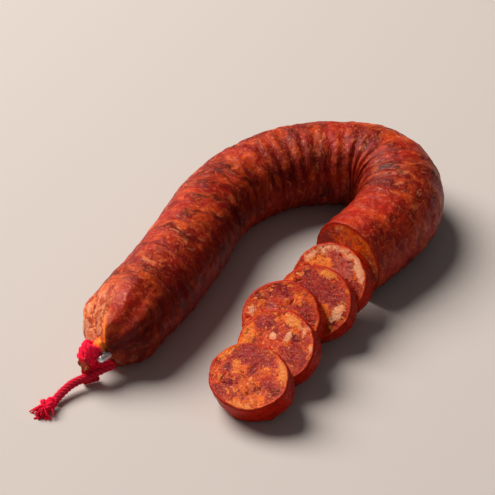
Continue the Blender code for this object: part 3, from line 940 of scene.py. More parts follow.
def casing_material(name, groups, settings):
    """Mottled casing: red-brown with orange and dark patches, fat flecks, bright fibres and a satin gloss;
    painted shade in the furrows, inner side and underside, painted highlight streaks and painted light on the
    tied end.
    """
    made, nodes, inputs = plain_material(name, Specular_IOR_Level=0.15)
    times, ramp, noise, named = nodes.times, nodes.ramp, nodes.noise, nodes.named
    patches, flecks = groups
    place = named("skin_place", "Vector")
    crease, end, sheltered = named("crease"), named("tied_end"), named("sheltered")
    warped = nodes.shifted(place, 0.13, 1.0, 9.0)

    def squeezed(spot, round_it, along_it=1.0):
        return nodes.vector("MULTIPLY", spot, (round_it, round_it, along_it))

    def moved(shift):
        return nodes.vector("ADD", banded, shift)

    banded = squeezed(warped, 0.42)
    broad = nodes.group(patches, place=place, scale=0.045, low=0.38, high=0.62)[0]
    meat = nodes.group(patches, place=banded, scale=0.17, detail=3.0, low=0.46, high=0.66)[0]
    dark = nodes.group(patches, place=moved((31.0, 7.0, 3.0)), scale=0.14, detail=3.0,
                       low=0.50, high=0.70)[0]
    fleck = nodes.group(flecks, place=banded, scale=0.26, share=0.30, size=0.34, ragged=0.9)[0]
    pale = nodes.group(flecks, place=moved((13.0, 5.0, 9.0)), scale=0.40, share=0.14,
                       size=0.30, ragged=0.9)[0]
    fine = noise(warped, 0.8, 4.0, 0.62)
    soft = noise(warped, 0.30, 3.0, distortion=0.6)
    drawn = noise(squeezed(place, 1.0, 0.45), 0.42, 3.0, 0.55)
    streaks = noise(squeezed(warped, 0.55), 0.85, 3.0, 0.6)
    threads = noise(squeezed(warped, 0.30), 0.52, 2.0)
    line = nodes.near_zero(nodes.minus(threads, 0.5), 0.050)
    twice = times(end, end)
    depth = nodes.add("ShaderNodeSeparateXYZ", {"Vector": place}).outputs["Z"]
    inside = nodes.layers(settings.mouth_red, (ramp(fine, 0.42, 0.58), settings.fat))
    # painted highlight: pale streaks on the crests, left off the painted shade side
    painted_highlight_streaks = times(ramp(streaks, 0.56, 0.70, 0.0, 0.42), nodes.minus(1.0, sheltered))
    colour = nodes.layers(
        settings.deep_red,
        (broad, settings.red),
        (times(meat, 0.52), settings.orange),
        (times(dark, 0.90), settings.brown),
        (times(fleck, 0.42), settings.orange),
        (times(pale, 0.34), settings.fat),
        # the tied end: its own orange and fat, laid on its lit side left of the ridge as painted light so the
        # shaded side stays dark, and a painted pale sheen
        (times(end, ramp(soft, 0.36, 0.58, 0.10, 0.80)), settings.orange),
        (times(twice, ramp(soft, 0.46, 0.64, 0.04, 0.66)), settings.fat),
        (times(twice, ramp(drawn, 0.47, 0.60, 0.0, 0.66)), settings.end_pink),
        # painted light on the ridge's lit side, over the casing's orange
        (ramp(named("ridge"), 0.40, 0.90, 0.0, 0.85), settings.amber),
        (ramp(depth, -9.6, -8.4, 0.85, 0.0), nodes.layers(settings.orange, (soft, settings.fat))),
        (ramp(depth, -11.5, -11.1, 0.9, 0.0), inside),
        # threads, painted shade in the furrows, the cut, painted shade on the inner side and underside, and
        # painted highlight streaks on the crests
        (times(line, ramp(fine, 0.42, 0.62, 0.0, 0.26)), settings.fat),
        (times(ramp(crease, -1.1, -0.2, 0.30, 0.0), nodes.minus(1.0, end)), settings.brown),
        (times(named("cut_end"), 0.35), settings.wet_red),
        (times(sheltered, ramp(soft, 0.25, 0.60, 0.85, 0.52)), settings.brown),
        (times(painted_highlight_streaks, ramp(crease, -0.6, 0.6, 0.35, 1.0)), settings.fat),
    )
    skin = nodes.bump(line, 0.00005, nodes.bump(fine, 0.00025))
    dress(nodes, inputs, nodes.vector("SCALE", colour, scale=ramp(fine, 0.30, 0.72, 0.76, 1.20)),
          ramp(fine, 0.3, 0.7, 0.54, 0.34), nodes.bump(noise(place, 2.2, 3.0), 0.00008, skin))
    return made


def wall_material(settings):
    """The casing round a slice: deep glossy red with faint darker clouds."""
    made, nodes, inputs = plain_material("glossy_red_casing", Specular_IOR_Level=0.04)
    place = nodes.named("skin_place", "Vector")
    cloud, fine = nodes.noise(place, 0.34, 3.0), nodes.noise(place, 1.4, 3.0)
    colour = nodes.layers(
        settings.deep_red,
        (nodes.ramp(cloud, 0.30, 0.52, 0.30, 1.0), settings.wet_red),
        (nodes.ramp(fine, 0.58, 0.74, 0.0, 0.14), settings.orange))
    dress(nodes, inputs, colour, nodes.ramp(fine, 0.3, 0.7, 0.34, 0.18), nodes.bump(fine, 0.00018))
    return made


def meat_material(name, groups, settings):
    """The cut filling: paprika-red paste, maroon lean, cream and orange fat, splits darkened with painted
    shade, painted cream glints and a casing rim.
    """
    made, nodes, inputs = plain_material(
        name, Subsurface_Weight=0.08, Subsurface_Scale=0.002, Subsurface_Radius=(1.0, 0.25, 0.10),
        Specular_IOR_Level=0.17)
    times, plus, ramp, named = nodes.times, nodes.plus, nodes.ramp, nodes.named
    flecks, chunks = groups
    place, to_rim = named("skin_place", "Vector"), named("to_rim")

    def cloud(shift, scale, detail=4.0, roughness=0.6, distortion=0.0):
        return nodes.noise(nodes.vector("ADD", place, shift), scale, detail, roughness, distortion)

    def around(value, amount):
        return times(nodes.minus(value, 0.5), amount)

    def soaked(label, broad, low, high, most=1.0):
        return ramp(plus(plus(named(label), jitter), broad), low, high, 0.0, most)

    fine = cloud((0.0, 0.0, 0.0), 1.5, roughness=0.65)
    medium = cloud((5.0, 1.0, 2.0), 0.62, distortion=0.8)
    soft = cloud((17.0, 3.0, 8.0), 0.30, distortion=0.6)
    jitter = plus(around(medium, 1.5), around(fine, 0.35))
    lean_here = soaked("lean", around(cloud((3.0, 9.0, 1.0), 0.26, distortion=0.5), 1.8), 0.42, 0.80, 0.92)
    orange_here = soaked("orange", around(cloud((8.0, 2.0, 6.0), 0.32), 2.0), 0.46, 0.92)
    fat_here = soaked("fat", around(cloud((1.0, 7.0, 4.0), 0.42), 1.6), 0.40, 0.92, 0.95)
    pale_here = soaked("pale", around(soft, 0.8), 0.30, 0.95)
    pieces = nodes.group(chunks, place=place, scale=0.30, ragged=1.1)
    crumb = nodes.group(chunks, place=place, scale=0.75, ragged=1.0)["Number"]
    specks = nodes.group(flecks, place=place, scale=0.95, share=0.22, size=0.30, ragged=0.9)[0]
    most = ramp(named("orange"), 0.60, 0.95, 0.90, 0.30)
    paste = nodes.layers(
        settings.paste_red,
        (ramp(medium, 0.38, 0.60), settings.paste),
        (orange_here, settings.paste_orange),
        (times(specks, 0.20), settings.fat_orange),
        (ramp(pieces["Number"], 0.50, 0.40, 0.0, most), settings.lean_light),
        (ramp(pieces["Number"], 0.26, 0.18, 0.0, most), settings.lean),
        (ramp(pieces["Number"], 0.84, 0.90, 0.0, 0.60), settings.paste_orange),
        (times(pieces["Edge"], 0.28), settings.paste_orange),
        (ramp(crumb, 0.86, 0.94, 0.0, 0.70), settings.fat_orange),
        (ramp(crumb, 0.20, 0.12, 0.0, 0.45), settings.paste_red))
    lean = nodes.layers(
        settings.lean,
        (ramp(fine, 0.36, 0.62), settings.lean_light),
        (ramp(medium, 0.50, 0.66, 0.0, 0.75), settings.paste_red),
        (times(specks, 0.34), settings.mauve),
        (times(pale_here, 0.85), settings.mauve))
    fat = nodes.layers(
        settings.fat_orange,
        (pale_here, settings.fat_cream),
        (ramp(soft, 0.45, 0.68, 0.0, 0.45), settings.paste_orange))
    vein = around(cloud((2.0, 5.0, 7.0), 0.55, 2.0, distortion=1.2), 1.0)
    seam = around(cloud((6.0, 3.0, 9.0), 0.42, 2.0, distortion=1.0), 1.0)
    dim = times(nodes.near_zero(seam, 0.030), ramp(medium, 0.40, 0.60, 0.0, 0.55))
    # painted highlight: small cream glints scattered over the cut faces
    painted_glints = nodes.group(flecks, place=nodes.vector("ADD", place, (4.0, 9.0, 6.0)),
                      scale=1.25, share=0.26, size=0.25, ragged=1.2)[0]
    colour = nodes.layers(
        paste,
        (lean_here, lean),
        (fat_here, fat),
        (times(nodes.near_zero(vein, 0.032), ramp(fine, 0.42, 0.60, 0.0, 0.55)), settings.fat_orange),
        (dim, settings.lean_light),
        (times(painted_glints, ramp(soft, 0.44, 0.60, 0.0, 0.80)), settings.fat_cream),
        # painted shade inside the splits and cracks
        (ramp(plus(named("split"), times(jitter, 0.4)), 0.25, 0.8, 0.0, 0.72), settings.split),
        (ramp(plus(to_rim, times(jitter, 0.05)), 0.86, 0.96, 0.0, 0.4), settings.paste),
        (times(ramp(plus(to_rim, times(jitter, 0.020)), 0.966, 0.984), ramp(soft, 0.36, 0.54, 0.25, 1.0)),
         settings.rim))
    lumps = nodes.bump(nodes.minus(medium, times(dim, 0.35)), 0.00050)
    normal = nodes.bump(nodes.noise(place, 3.4, 2.0), 0.00010, nodes.bump(fine, 0.00030, lumps))
    dress(nodes, inputs, nodes.vector("SCALE", colour, scale=ramp(fine, 0.28, 0.74, 0.84, 1.14)),
          ramp(fine, 0.3, 0.7, 0.34, 0.14), normal)
    return made


def clip_material():
    """Pale satin aluminium with fine handling marks."""
    made, nodes, inputs = plain_material("clip_satin_aluminium", Metallic=1.0)
    worn = nodes.noise(nodes.add("ShaderNodeTexCoord").outputs["Object"], 900.0, 4.0)
    colour = nodes.layers((0.80, 0.80, 0.81), (nodes.ramp(worn, 0.35, 0.7), (0.95, 0.95, 0.96)))
    dress(nodes, inputs, colour, nodes.ramp(worn, 0.3, 0.7, 0.34, 0.50), nodes.bump(worn, 0.00003))
    return made


def string_material(name, light, dark, shade):
    """Dyed cotton: twisted fibres in painted lit and shaded tones, painted shade between the plies, and a
    soft sheen.
    """
    made, nodes, inputs = plain_material(
        name, Sheen_Weight=0.12, Sheen_Roughness=0.4, Sheen_Tint=(1.0, 0.25, 0.3, 1.0),
        Specular_IOR_Level=0.12)
    threads = nodes.noise(nodes.named("fibre", "Vector"), 5.0, 3.0, 0.6)
    # painted light and shade: lit and shaded tones along the fibres, and painted shade deep between the plies
    colour = nodes.layers(
        dark,
        (nodes.ramp(threads, 0.32, 0.68), light),
        (nodes.ramp(nodes.named("depth"), 0.30, 0.90, 0.60, 0.0), shade))
    dress(nodes, inputs, colour, 0.9, nodes.bump(threads, 0.00018))
    return made


def strand_tree(look):
    """Geometry nodes that lay twisted plies, with loose fibres on them, along every line of a mesh."""
    nodes, given, out = new_group(
        "twisted_strand",
        (("Geometry", GEOMETRY, None), ("Diameter", FLOAT, 0.0025), ("Plies", COUNT, 3),
         ("Lay", FLOAT, 0.009), ("Fibres", FLOAT, 2.4e6), ("Fibre length", FLOAT, 0.0006),
         ("Taper", FLOAT, 0.0), ("Seed", COUNT, 4)),
        (("Geometry", GEOMETRY),),
        "GeometryNodeTree")
    nodes.tree.is_modifier = True
    add, times, plus, minus, math_node = nodes.add, nodes.times, nodes.plus, nodes.minus, nodes.math

    def divided(first, second):
        return math_node("DIVIDE", first, second)

    def store(geometry, label, value, kind="FLOAT"):
        return add("GeometryNodeStoreNamedAttribute", {"Geometry": geometry, "Name": label, "Value": value},
                   data_type=kind, domain="POINT").outputs["Geometry"]

    def read(label, kind="FLOAT"):
        return add("GeometryNodeInputNamedAttribute", {"Name": label}, data_type=kind).outputs["Attribute"]

    def xyz(**parts):
        return add("ShaderNodeCombineXYZ", parts).outputs["Vector"]

    # plies turned round the line
    line = add("GeometryNodeMeshToCurve", {"Mesh": given["Geometry"]}).outputs["Curve"]
    even = add("GeometryNodeResampleCurve", {"Curve": line, "Length": STRAND_STEP}, mode="LENGTH")
    copies = add("GeometryNodeDuplicateElements",
                 {"Geometry": even.outputs["Curve"], "Amount": given["Plies"]}, domain="SPLINE")
    along = add("GeometryNodeSplineParameter").outputs
    whole = add("GeometryNodeSplineLength").outputs["Length"]
    turned = times(along["Factor"], math_node("ROUND", divided(whole, given["Lay"])))
    own = divided(copies.outputs["Duplicate Index"], given["Plies"])
    angle = times(plus(turned, own), 2 * math.pi)
    normal = add("GeometryNodeInputNormal").outputs["Normal"]
    side = nodes.vector("CROSS_PRODUCT", add("GeometryNodeInputTangent").outputs["Tangent"], normal)
    packed = math_node("SINE", divided(math.pi, given["Plies"]))
    ply_share = divided(packed, plus(packed, 1.0))
    half = times(given["Diameter"], 0.5)
    ply = times(half, ply_share)
    turned_way = nodes.vector("ADD", nodes.vector("SCALE", normal, scale=math_node("COSINE", angle)),
                              nodes.vector("SCALE", side, scale=math_node("SINE", angle)))
    marked = store(copies.outputs["Geometry"], "turn", angle)
    marked = store(marked, "far", along["Length"])
    position = add("GeometryNodeInputPosition").outputs["Position"]
    marked = store(marked, "core", position, "FLOAT_VECTOR")
    laid = add("GeometryNodeSetPosition", {
        "Geometry": marked, "Offset": nodes.vector("SCALE", turned_way, scale=minus(half, ply))})
    ring = add("GeometryNodeCurvePrimitiveCircle", {"Resolution": 14, "Radius": times(ply, 1.08)})
    round_angle = times(add("GeometryNodeSplineParameter").outputs["Factor"], 2 * math.pi)
    to_end = math_node("MINIMUM", along["Length"], minus(whole, along["Length"]))
    taper = nodes.ramp(to_end, minus(0.0, given["Taper"]), plus(given["Taper"], 1e-6))
    tube = add("GeometryNodeCurveToMesh", {
        "Curve": laid.outputs["Geometry"], "Scale": taper, "Fill Caps": True,
        "Profile Curve": store(ring.outputs["Curve"], "round_angle", round_angle)})
    # how deep in the strand a place is, and its place along the fibres
    away = nodes.vector("LENGTH", nodes.vector("SUBTRACT", position, read("core", "FLOAT_VECTOR")))
    spin = minus(read("round_angle"), read("turn"))
    fibre = xyz(X=math_node("COSINE", spin), Y=math_node("SINE", spin), Z=times(read("far"), 90.0))
    plies = store(store(tube.outputs["Mesh"], "depth", divided(away, half)), "fibre", fibre, "FLOAT_VECTOR")
    # loose fibres
    spots = add("GeometryNodeDistributePointsOnFaces",
                {"Mesh": plies, "Density": given["Fibres"], "Seed": given["Seed"]}).outputs
    hair_line = add("GeometryNodeCurvePrimitiveLine", {"End": (0.0, 0.0, 1.0)}).outputs["Curve"]
    hair_even = add("GeometryNodeResampleCurve", {"Curve": hair_line, "Count": 5}).outputs["Curve"]
    lean_over = times(math_node("POWER", add("GeometryNodeSplineParameter").outputs["Factor"], 2.0), 0.9)
    bent = add("GeometryNodeSetPosition", {"Geometry": hair_even, "Offset": xyz(X=lean_over)})
    hair_ring = add("GeometryNodeCurvePrimitiveCircle", {"Resolution": 3, "Radius": 0.032})
    hair = add("GeometryNodeCurveToMesh", {
        "Curve": bent.outputs["Geometry"], "Profile Curve": hair_ring.outputs["Curve"], "Fill Caps": True})
    twirl = add("FunctionNodeRandomValue", {"Seed": given["Seed"], 3: 2 * math.pi}, data_type="FLOAT")
    spun = add("FunctionNodeRotateRotation", {
        "Rotation": spots["Rotation"], "Rotate By": xyz(Z=twirl.outputs[1])}, rotation_space="LOCAL")
    sizes = add("FunctionNodeRandomValue", {"Seed": 7, 2: 0.35}, data_type="FLOAT")
    size = times(sizes.outputs[1], given["Fibre length"])
    hairs = add("GeometryNodeInstanceOnPoints", {
        "Points": spots["Points"], "Instance": hair.outputs["Mesh"],
        "Rotation": spun.outputs["Rotation"], "Scale": xyz(X=size, Y=size, Z=size)})
    joined = add("GeometryNodeJoinGeometry", {"Geometry": hairs.outputs["Instances"]})
    nodes.tree.links.new(plies, joined.inputs["Geometry"])
    real = add("GeometryNodeRealizeInstances", {"Geometry": joined.outputs["Geometry"]})
    dressed = add("GeometryNodeSetMaterial", {"Geometry": real.outputs["Geometry"], "Material": look})
    smooth = add("GeometryNodeSetShadeSmooth", {"Geometry": dressed.outputs["Geometry"]})
    nodes.feed(out["Geometry"], smooth.outputs[0])
    return nodes.tree


def make_strands(name, lines, tree, look, **values):
    """A mesh of twisted strands along lines of points; each line is (points, closed)."""
    points, edges = [], []
    for line, closed in lines:
        start = len(points)
        points += [tuple(Vector(point) - ORIGIN) for point in line]
        edges += [(start + k, start + k + 1) for k in range(len(line) - 1)]
        if closed:
            edges.append((start + len(line) - 1, start))
    mesh = bpy.data.meshes.new(name + "_lines")
    mesh.from_pydata(points, edges, [])
    holder = bpy.data.objects.new(name + "_lines", mesh)
    bpy.context.scene.collection.objects.link(holder)
    modifier = holder.modifiers.new("strands", "NODES")
    modifier.node_group = tree
    for item in tree.interface.items_tree:
        if item.in_out == "INPUT" and item.name in values:
            modifier[item.identifier] = values[item.name]
    bpy.context.view_layer.update()
    evaluated = holder.evaluated_get(bpy.context.evaluated_depsgraph_get())
    made = bpy.data.meshes.new_from_object(evaluated)
    bpy.data.objects.remove(holder, do_unlink=True)
    if not made.polygons:
        raise RuntimeError(f"{name} came out empty")
    made.name = name
    made.materials.clear()
    made.materials.append(look)
    piece = bpy.data.objects.new(name, made)
    bpy.context.scene.collection.objects.link(piece)
    return piece


def wrap_lines():
    """The wound string's turns, one below the other, drooping with the neck."""
    middle, across, up, out = neck_frame(WOUND_PLACE)
    droop = math.radians(WOUND_DROOP)
    axis = out * math.cos(droop) - up * math.sin(droop)
    rise = up * math.cos(droop) + out * math.sin(droop)
    middle = middle + up * WOUND_UP + across * WOUND_ASIDE
    rng = np.random.default_rng(21)
    lines = []
    for turn in range(WOUND_TURNS):
        shift = (turn - (WOUND_TURNS - 1) / 2) * WOUND_PITCH
        wide = WOUND_WIDE * (1 + rng.uniform(-0.08, 0.08)) * (1 - 0.05 * abs(turn - 1.6))
        high = WOUND_HIGH * (1 + rng.uniform(-0.10, 0.10)) * (1 - 0.06 * abs(turn - 1.6))
        lean, slip = rng.uniform(-0.5, 0.5) * MM, rng.uniform(0, 2 * math.pi)
        aside = across * rng.uniform(-0.4, 0.4) * MM
        points = []
        for step in range(48):
            t = 2 * math.pi * step / 48
            flat = across * math.cos(t) * wide + rise * math.sin(t) * high
            points.append(middle + aside + axis * (shift + lean * math.sin(t + slip)) + flat)
        lines.append((points, True))
    lines.append((smooth_route(LAST_TURN_ROUTE, ROUTE_STEP), False))
    return lines


def yarn_lines(count):
    """Thin loose yarns that hang from the turns, past the tail, onto the free string."""
    rng = np.random.default_rng(17)
    high_left, high_right, low_left, low_right = (Vector(corner) * MM for corner in YARN_CORNERS)
    lines = []
    for index in range(count):
        share = (index + rng.uniform(0.2, 0.8)) / count
        high = high_left.lerp(high_right, share)
        low = low_left.lerp(low_right, min(max(share + rng.uniform(-0.12, 0.12), 0.0), 1.0))
        bulge = TO_VIEWER * rng.uniform(0.2, 1.3) * MM
        points = []
        for step in range(11):
            t = step / 10
            wave = RIGHT_IN_VIEW * 0.35 * MM * math.sin(6 * t + 5 * share)
            points.append(high.lerp(low, t) + bulge * math.sin(math.pi * t) + wave)
        lines.append((points, False))
    return lines


def knot_frame():
    """The frayed knot's middle and its ways ahead and aside."""
    route = [Vector(point) * MM for point in STRING_ROUTE]
    ahead = route[-1] - route[-2]
    ahead.z = 0.0
    ahead.normalize()
    side = Vector((0.0, 0.0, 1.0)).cross(ahead)
    middle = route[-1] + ahead * (KNOT_LENGTH / 2)
    middle.z = KNOT_HEIGHT / 2
    return middle, ahead, side


def knot_lines():
    """A small overhand knot."""
    middle, ahead, side = knot_frame()
    middle = middle - ahead * 2.2 * MM
    long, wide, tall = KNOT_LOOP
    points = []
    for step in range(60):
        t = 2 * math.pi * step / 60
        x = (math.sin(t) + 2 * math.sin(2 * t)) / 3
        y = (math.cos(t) - 2 * math.cos(2 * t)) / 3
        points.append(middle + ahead * x * long + side * y * wide + Vector((0, 0, -math.sin(3 * t) * tall)))
    return [(points, True)]


def tuft_lines(count):
    """Loose yarns that splay out of the knot and droop to the ground."""
    middle, ahead, side = knot_frame()
    rng = np.random.default_rng(11)
    lines = []
    for _ in range(count):
        turn = rng.normal(0.0, 0.62)
        rise = rng.uniform(-0.2, 0.75)
        reach = rng.uniform(4.2, 6.6) * MM
        start = middle - ahead * rng.uniform(0.5, 2.0) * MM + side * rng.uniform(-1.3, 1.3) * MM
        start.z = KNOT_HEIGHT * rng.uniform(0.25, 0.62)
        way = (ahead * math.cos(turn) + side * math.sin(turn)).normalized()
        curl = rng.normal(0.0, 0.5)
        points = []
        for step in range(9):
            t = step / 8
            bend = way + side * curl * t * t
            point = start + bend.normalized() * reach * t
            point.z = max(start.z + reach * (rise * t - 0.85 * t * t), 0.35 * MM)
            points.append(point)
        lines.append((points, False))
    return lines


# ---- settings ----


def colour_setting(name, description, value):
    return bpy.props.FloatVectorProperty(
        name=name, description=description, default=value, size=3, min=0.0, max=1.0, subtype="COLOR")


def length_setting(name, description, value):
    return bpy.props.FloatProperty(
        name=name, description=description, default=value, min=0.0, precision=5, unit="LENGTH")


class CasingSettings(bpy.types.PropertyGroup):
    """Sizes and colours of the casing."""

    ring_step: length_setting("Ring step", "Distance between the casing's rings", 0.64 * MM)
    around: bpy.props.IntProperty(name="Around", description="Points round the casing", default=200, min=24)
    cobble_depth: length_setting("Cobble depth", "How far pieces of the filling press out", 0.26 * MM)
    crease_depth: length_setting("Crease depth", "Height of the creases", 0.26 * MM)
    grain_depth: length_setting("Grain depth", "Height of the fine grain", 0.06 * MM)
    red: colour_setting("Red", "Main red of the casing", (0.36, 0.011, 0.003))
    deep_red: colour_setting("Deep red", "Darker red in broad patches", (0.19, 0.004, 0.0015))
    orange: colour_setting("Orange", "Paprika fat under the casing", (0.66, 0.078, 0.009))
    # brown is also painted shade: in the furrows, on the inner side and on the underside
    brown: colour_setting("Brown", "Lean meat under the casing", (0.075, 0.0015, 0.001))
    # fat is also the colour of the painted highlight streaks on the casing's crests
    fat: colour_setting("Fat", "Pale fat under the casing", (0.82, 0.25, 0.085))
    # end_pink is a painted sheen, a highlight laid on the tied end's lit side
    end_pink: colour_setting("End pink", "Pale sheen of the tied end", (0.90, 0.37, 0.20))
    # amber is painted light on the lit side of the tied end's ridge, and the lump's own orange
    amber: colour_setting("Amber", "Thin casing along the tied end's ridge", (0.94, 0.20, 0.014))
    wet_red: colour_setting("Wet red", "Casing near the cut", (0.46, 0.012, 0.002))
    mouth_red: colour_setting("Mouth red", "Inside of the gathered tail", (0.62, 0.020, 0.030))


class MeatSettings(bpy.types.PropertyGroup):
    """Sizes and colours of the cut filling."""

    grid: bpy.props.IntProperty(name="Grid", description="Points across a cut face", default=97, min=17)
    wall_rings: bpy.props.IntProperty(
        name="Wall rings", description="Rings on a slice's wall", default=14, min=4)
    lip: length_setting("Lip", "How far the casing stands out at the rim", 0.22 * MM)
    paste: colour_setting("Paste", "Orange-red of the filling", (0.66, 0.044, 0.008))
    paste_red: colour_setting("Red paste", "Redder parts of the filling", (0.47, 0.015, 0.006))
    paste_orange: colour_setting("Orange paste", "Paprika oil in the filling", (0.93, 0.155, 0.007))
    lean: colour_setting("Lean", "Dark lean meat", (0.19, 0.003, 0.007))
    lean_light: colour_setting("Light lean", "Lighter lean meat", (0.40, 0.016, 0.016))
    mauve: colour_setting("Mauve", "Cured pink of the lean", (0.72, 0.175, 0.130))
    # fat_cream is also the colour of the painted glints on the cut faces
    fat_cream: colour_setting("Cream fat", "Palest fat", (0.92, 0.44, 0.24))
    fat_orange: colour_setting("Orange fat", "Fat stained by paprika", (0.94, 0.27, 0.032))
    # split is painted shade inside the splits and cracks
    split: colour_setting("Split", "Inside the splits", (0.10, 0.006, 0.004))
    rim: colour_setting("Rim", "Cut edge of the casing", (0.48, 0.034, 0.007))


class StringSettings(bpy.types.PropertyGroup):
    """Sizes and colours of the string."""

    lay: length_setting("Lay", "Length of one turn of the plies", 7.0 * MM)
    tuft: bpy.props.IntProperty(name="Tuft", description="Loose yarns at the knot", default=46, min=1)
    yarns: bpy.props.IntProperty(name="Yarns", description="Loose yarns below the turns", default=24, min=1)
    # worn_light and worn_dark are painted lit and shaded tones of the fibres; worn_shade is painted shade
    # between the plies
    worn_light: colour_setting("Worn light", "Free string where it is lit", (0.80, 0.022, 0.062))
    worn_dark: colour_setting("Worn dark", "Free string between the fibres", (0.50, 0.007, 0.026))
    worn_shade: colour_setting("Worn shade", "Free string between the plies", (0.27, 0.002, 0.011))
    # light and dark are painted lit and shaded tones of the fibres; shade is painted shade between the plies
    light: colour_setting("Light", "Dyed cotton where it is lit", (1.0, 0.014, 0.065))
    dark: colour_setting("Dark", "Dyed cotton between the fibres", (0.95, 0.010, 0.052))
    shade: colour_setting("Shade", "Dyed cotton between the plies", (0.60, 0.003, 0.024))


class StageSettings(bpy.types.PropertyGroup):
    """The floor and the lights."""

    floor: colour_setting("Floor", "Colour of the floor", (0.52, 0.465, 0.43))
    key: bpy.props.FloatProperty(name="Key light", description="Watts of the main light", default=96.0)
    fill: bpy.props.FloatProperty(name="Fill light", description="Watts of the soft light", default=1.2)
    sky: bpy.props.FloatProperty(name="Sky", description="Strength of the light all round", default=0.085)


# ---- operators ----


def shared_flecks():
    """The pattern group that the casing and the filling share."""
    return bpy.data.node_groups.get("scattered_flecks") or flecks_group()


def string_look(context, wear=""):
    """The dyed cotton of the tie, or with wear "worn_" that of the free string."""
    settings = context.scene.sausage_string
    name = "worn_cotton_string" if wear else "dyed_cotton_string"
    return bpy.data.materials.get(name) or string_material(
        name, *(getattr(settings, wear + label) for label in ("light", "dark", "shade")))


def strand_nodes(context):
    return bpy.data.node_groups.get("twisted_strand") or strand_tree(string_look(context))


class SAUSAGE_OT_stage(bpy.types.Operator):
    """Floor, lights and camera."""

    bl_idname = "sausage.make_stage"
    bl_label = "Stage"

    def execute(self, context):
        settings = context.scene.sausage_stage
        scene = context.scene
        mesh = bpy.data.meshes.new("floor")
        corners = [(x * FLOOR_REACH, y * FLOOR_REACH, 0) for x, y in ((-1, -1), (1, -1), (1, 1), (-1, 1))]
        mesh.from_pydata(corners, [], [(0, 1, 2, 3)])
        look = plain_material("floor_plaster", Roughness=0.9, Base_Color=(*settings.floor, 1.0))[0]
        mesh.materials.append(look)
        floor = bpy.data.objects.new("floor", mesh)
        scene.collection.objects.link(floor)
        world = bpy.data.worlds.new("soft_sky")
        world.use_nodes = True
        sky = world.node_tree.nodes["Background"]
        sky.inputs["Color"].default_value = SKY_COLOUR
        sky.inputs["Strength"].default_value = settings.sky
        scene.world = world
        for name, (place, size, colour) in LIGHTS.items():
            light = bpy.data.lights.new(name + "_light", "AREA")
            light.shape = "DISK"
            light.size = size
            light.energy = getattr(settings, name)
            light.color = colour
            lamp = bpy.data.objects.new(name + "_light", light)
            lamp.location = place
            lamp.rotation_euler = (-Vector(place)).to_track_quat("-Z", "Y").to_euler()
            scene.collection.objects.link(lamp)
        a, e = math.radians(VIEW_AZIMUTH), math.radians(VIEW_ELEVATION)
        back = Vector((math.sin(a) * math.cos(e), -math.cos(a) * math.cos(e), math.sin(e)))
        lens = bpy.data.cameras.new("camera")
        lens.sensor_width = 36.0
        lens.lens = VIEW_LENS
        lens.clip_start = 0.05
        camera = bpy.data.objects.new("camera", lens)
        camera.location = VIEW_TARGET + back * VIEW_DISTANCE
        camera.rotation_euler = (-back).to_track_quat("-Z", "Y").to_euler()
        scene.collection.objects.link(camera)
        scene.camera = camera
        scene.view_settings.view_transform = "Standard"
        return {"FINISHED"}


class SAUSAGE_OT_string(bpy.types.Operator):
    """Free string, its cut end and its frayed knot."""

    bl_idname = "sausage.make_string"
    bl_label = "String"

    def execute(self, context):
        settings = context.scene.sausage_string
        look, worn, tree = string_look(context), string_look(context, "worn_"), strand_nodes(context)
        route = smooth_route(STRING_ROUTE, ROUTE_STEP)
        free = make_strands("free_string", [(route, False)], tree, worn, Diameter=STRING_DIAMETER * 0.97,
                            Plies=4, Lay=settings.lay, Taper=0.7 * MM, Seed=3)
        end = make_strands("short_end", [(smooth_route(END_ROUTE, ROUTE_STEP), False)], tree, worn,
                           Diameter=END_DIAMETER, Plies=4, Lay=settings.lay * 0.8, Taper=0.9 * MM, Seed=5)
        knot = make_strands("frayed_knot", knot_lines(), tree, look,
                            Diameter=KNOT_STRAND, Plies=3, Lay=settings.lay * 0.7, Seed=6)
        tuft = make_strands("tuft", tuft_lines(settings.tuft), tree, look,
                            Diameter=TUFT_DIAMETER, Plies=2, Lay=TUFT_LAY, Seed=8)
        settle(free, "red_string", "string")
        settle(end, "red_string", "string_end")
        settle(knot, "red_string", "string_knot")
        settle(tuft, "red_string", "string_knot")
        path = [tuple(point - ORIGIN) for point in route]
        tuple(path[0])
        return {"FINISHED"}


class SAUSAGE_OT_casing(bpy.types.Operator):
    """Casing of the whole leg, bend and cut leg."""

    bl_idname = "sausage.make_casing"
    bl_label = "Casing"

    def execute(self, context):
        settings = context.scene.sausage_casing
        look = casing_material("mottled_casing", (patches_group(), shared_flecks()), settings)
        settle(make_casing(settings, look), "casing", "sausage")
        return {"FINISHED"}


class SAUSAGE_OT_slices(bpy.types.Operator):
    """Cut face of the body and the leaning slices."""

    bl_idname = "sausage.make_slices"
    bl_label = "Slices"

    def execute(self, context):
        settings = context.scene.sausage_meat
        meat = meat_material("cut_filling", (shared_flecks(), chunks_group()), settings)
        wall = wall_material(context.scene.sausage_casing)
        x, y, heading = on_line(LENGTH)
        normal = Vector((math.cos(heading), math.sin(heading), 0.0))
        down = Vector((0.0, 0.0, -1.0))
        middle = Vector((x, y, height_at(LENGTH))) - normal * (FACE_THICK / 2 - GROUND_GAP)
        size = 2 * (radius_at(LENGTH) - FACE_INSET)
        own = (middle, normal.cross(down), down, normal, size, size, FACE_THICK)
        settle(make_cut_piece("cut_face", own, 0, MARKS[0], [meat, wall], settings.grid, 4, 0.0), "cut_meat")
        for index, row in enumerate(slice_rows(), start=1):
            piece = make_cut_piece(f"cut_slice_{index}", row, index, MARKS[index], [meat, wall],
                                   settings.grid, settings.wall_rings, settings.lip)
            settle(piece, "cut_meat", f"slice_{index}")
        return {"FINISHED"}


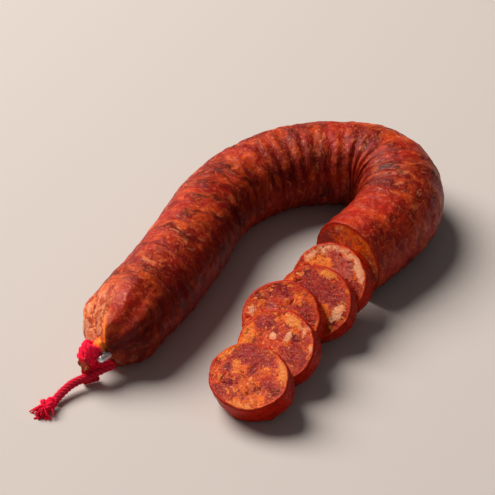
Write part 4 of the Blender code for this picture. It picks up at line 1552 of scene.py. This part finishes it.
class SAUSAGE_OT_tie(bpy.types.Operator):
    """Metal clip and the string wound behind it."""

    bl_idname = "sausage.make_tie"
    bl_label = "Clip and wound string"

    def execute(self, context):
        settings = context.scene.sausage_string
        look, tree = string_look(context), strand_nodes(context)
        settle(clip_mesh(clip_material()), "clip_metal", "clip")
        wound = make_strands("wound_string", wrap_lines(), tree, look,
                             Diameter=2 * STRAND_RADIUS, Plies=3, Lay=settings.lay, Seed=2)
        settle(wound, "red_string", "string_wrap")
        yarns = make_strands("loose_yarns", yarn_lines(settings.yarns), tree, look,
                             Diameter=YARN_DIAMETER, Plies=2, Lay=YARN_LAY, Seed=9)
        settle(yarns, "red_string", "string_wrap")
        return {"FINISHED"}


class SAUSAGE_PT_panel(bpy.types.Panel):
    """Lists the pieces and their settings."""

    bl_idname = "SAUSAGE_PT_panel"
    bl_label = "Cured sausage"
    bl_space_type = "VIEW_3D"
    bl_region_type = "UI"
    bl_category = "Sausage"

    def draw(self, context):
        layout = self.layout
        for operator in OPERATORS:
            layout.operator(operator.bl_idname)
        for label in SETTINGS:
            group = getattr(context.scene, label)
            box = layout.box()
            for key in group.__annotations__:
                box.prop(group, key)


SETTINGS = {
    "sausage_casing": CasingSettings,
    "sausage_meat": MeatSettings,
    "sausage_string": StringSettings,
    "sausage_stage": StageSettings,
}
OPERATORS = (SAUSAGE_OT_stage, SAUSAGE_OT_string, SAUSAGE_OT_casing, SAUSAGE_OT_slices, SAUSAGE_OT_tie)


def register():
    for item in (*SETTINGS.values(), *OPERATORS, SAUSAGE_PT_panel):
        bpy.utils.register_class(item)
    for label, group in SETTINGS.items():
        setattr(bpy.types.Scene, label, bpy.props.PointerProperty(type=group))


def unregister():
    for label in SETTINGS:
        delattr(bpy.types.Scene, label)
    for item in (SAUSAGE_PT_panel, *reversed(OPERATORS), *reversed(SETTINGS.values())):
        bpy.utils.unregister_class(item)


def main():
    register()
    bpy.ops.sausage.make_stage()
    bpy.ops.sausage.make_string()
    bpy.ops.sausage.make_casing()
    bpy.ops.sausage.make_slices()
    bpy.ops.sausage.make_tie()


if __name__ == "__main__":
    main()
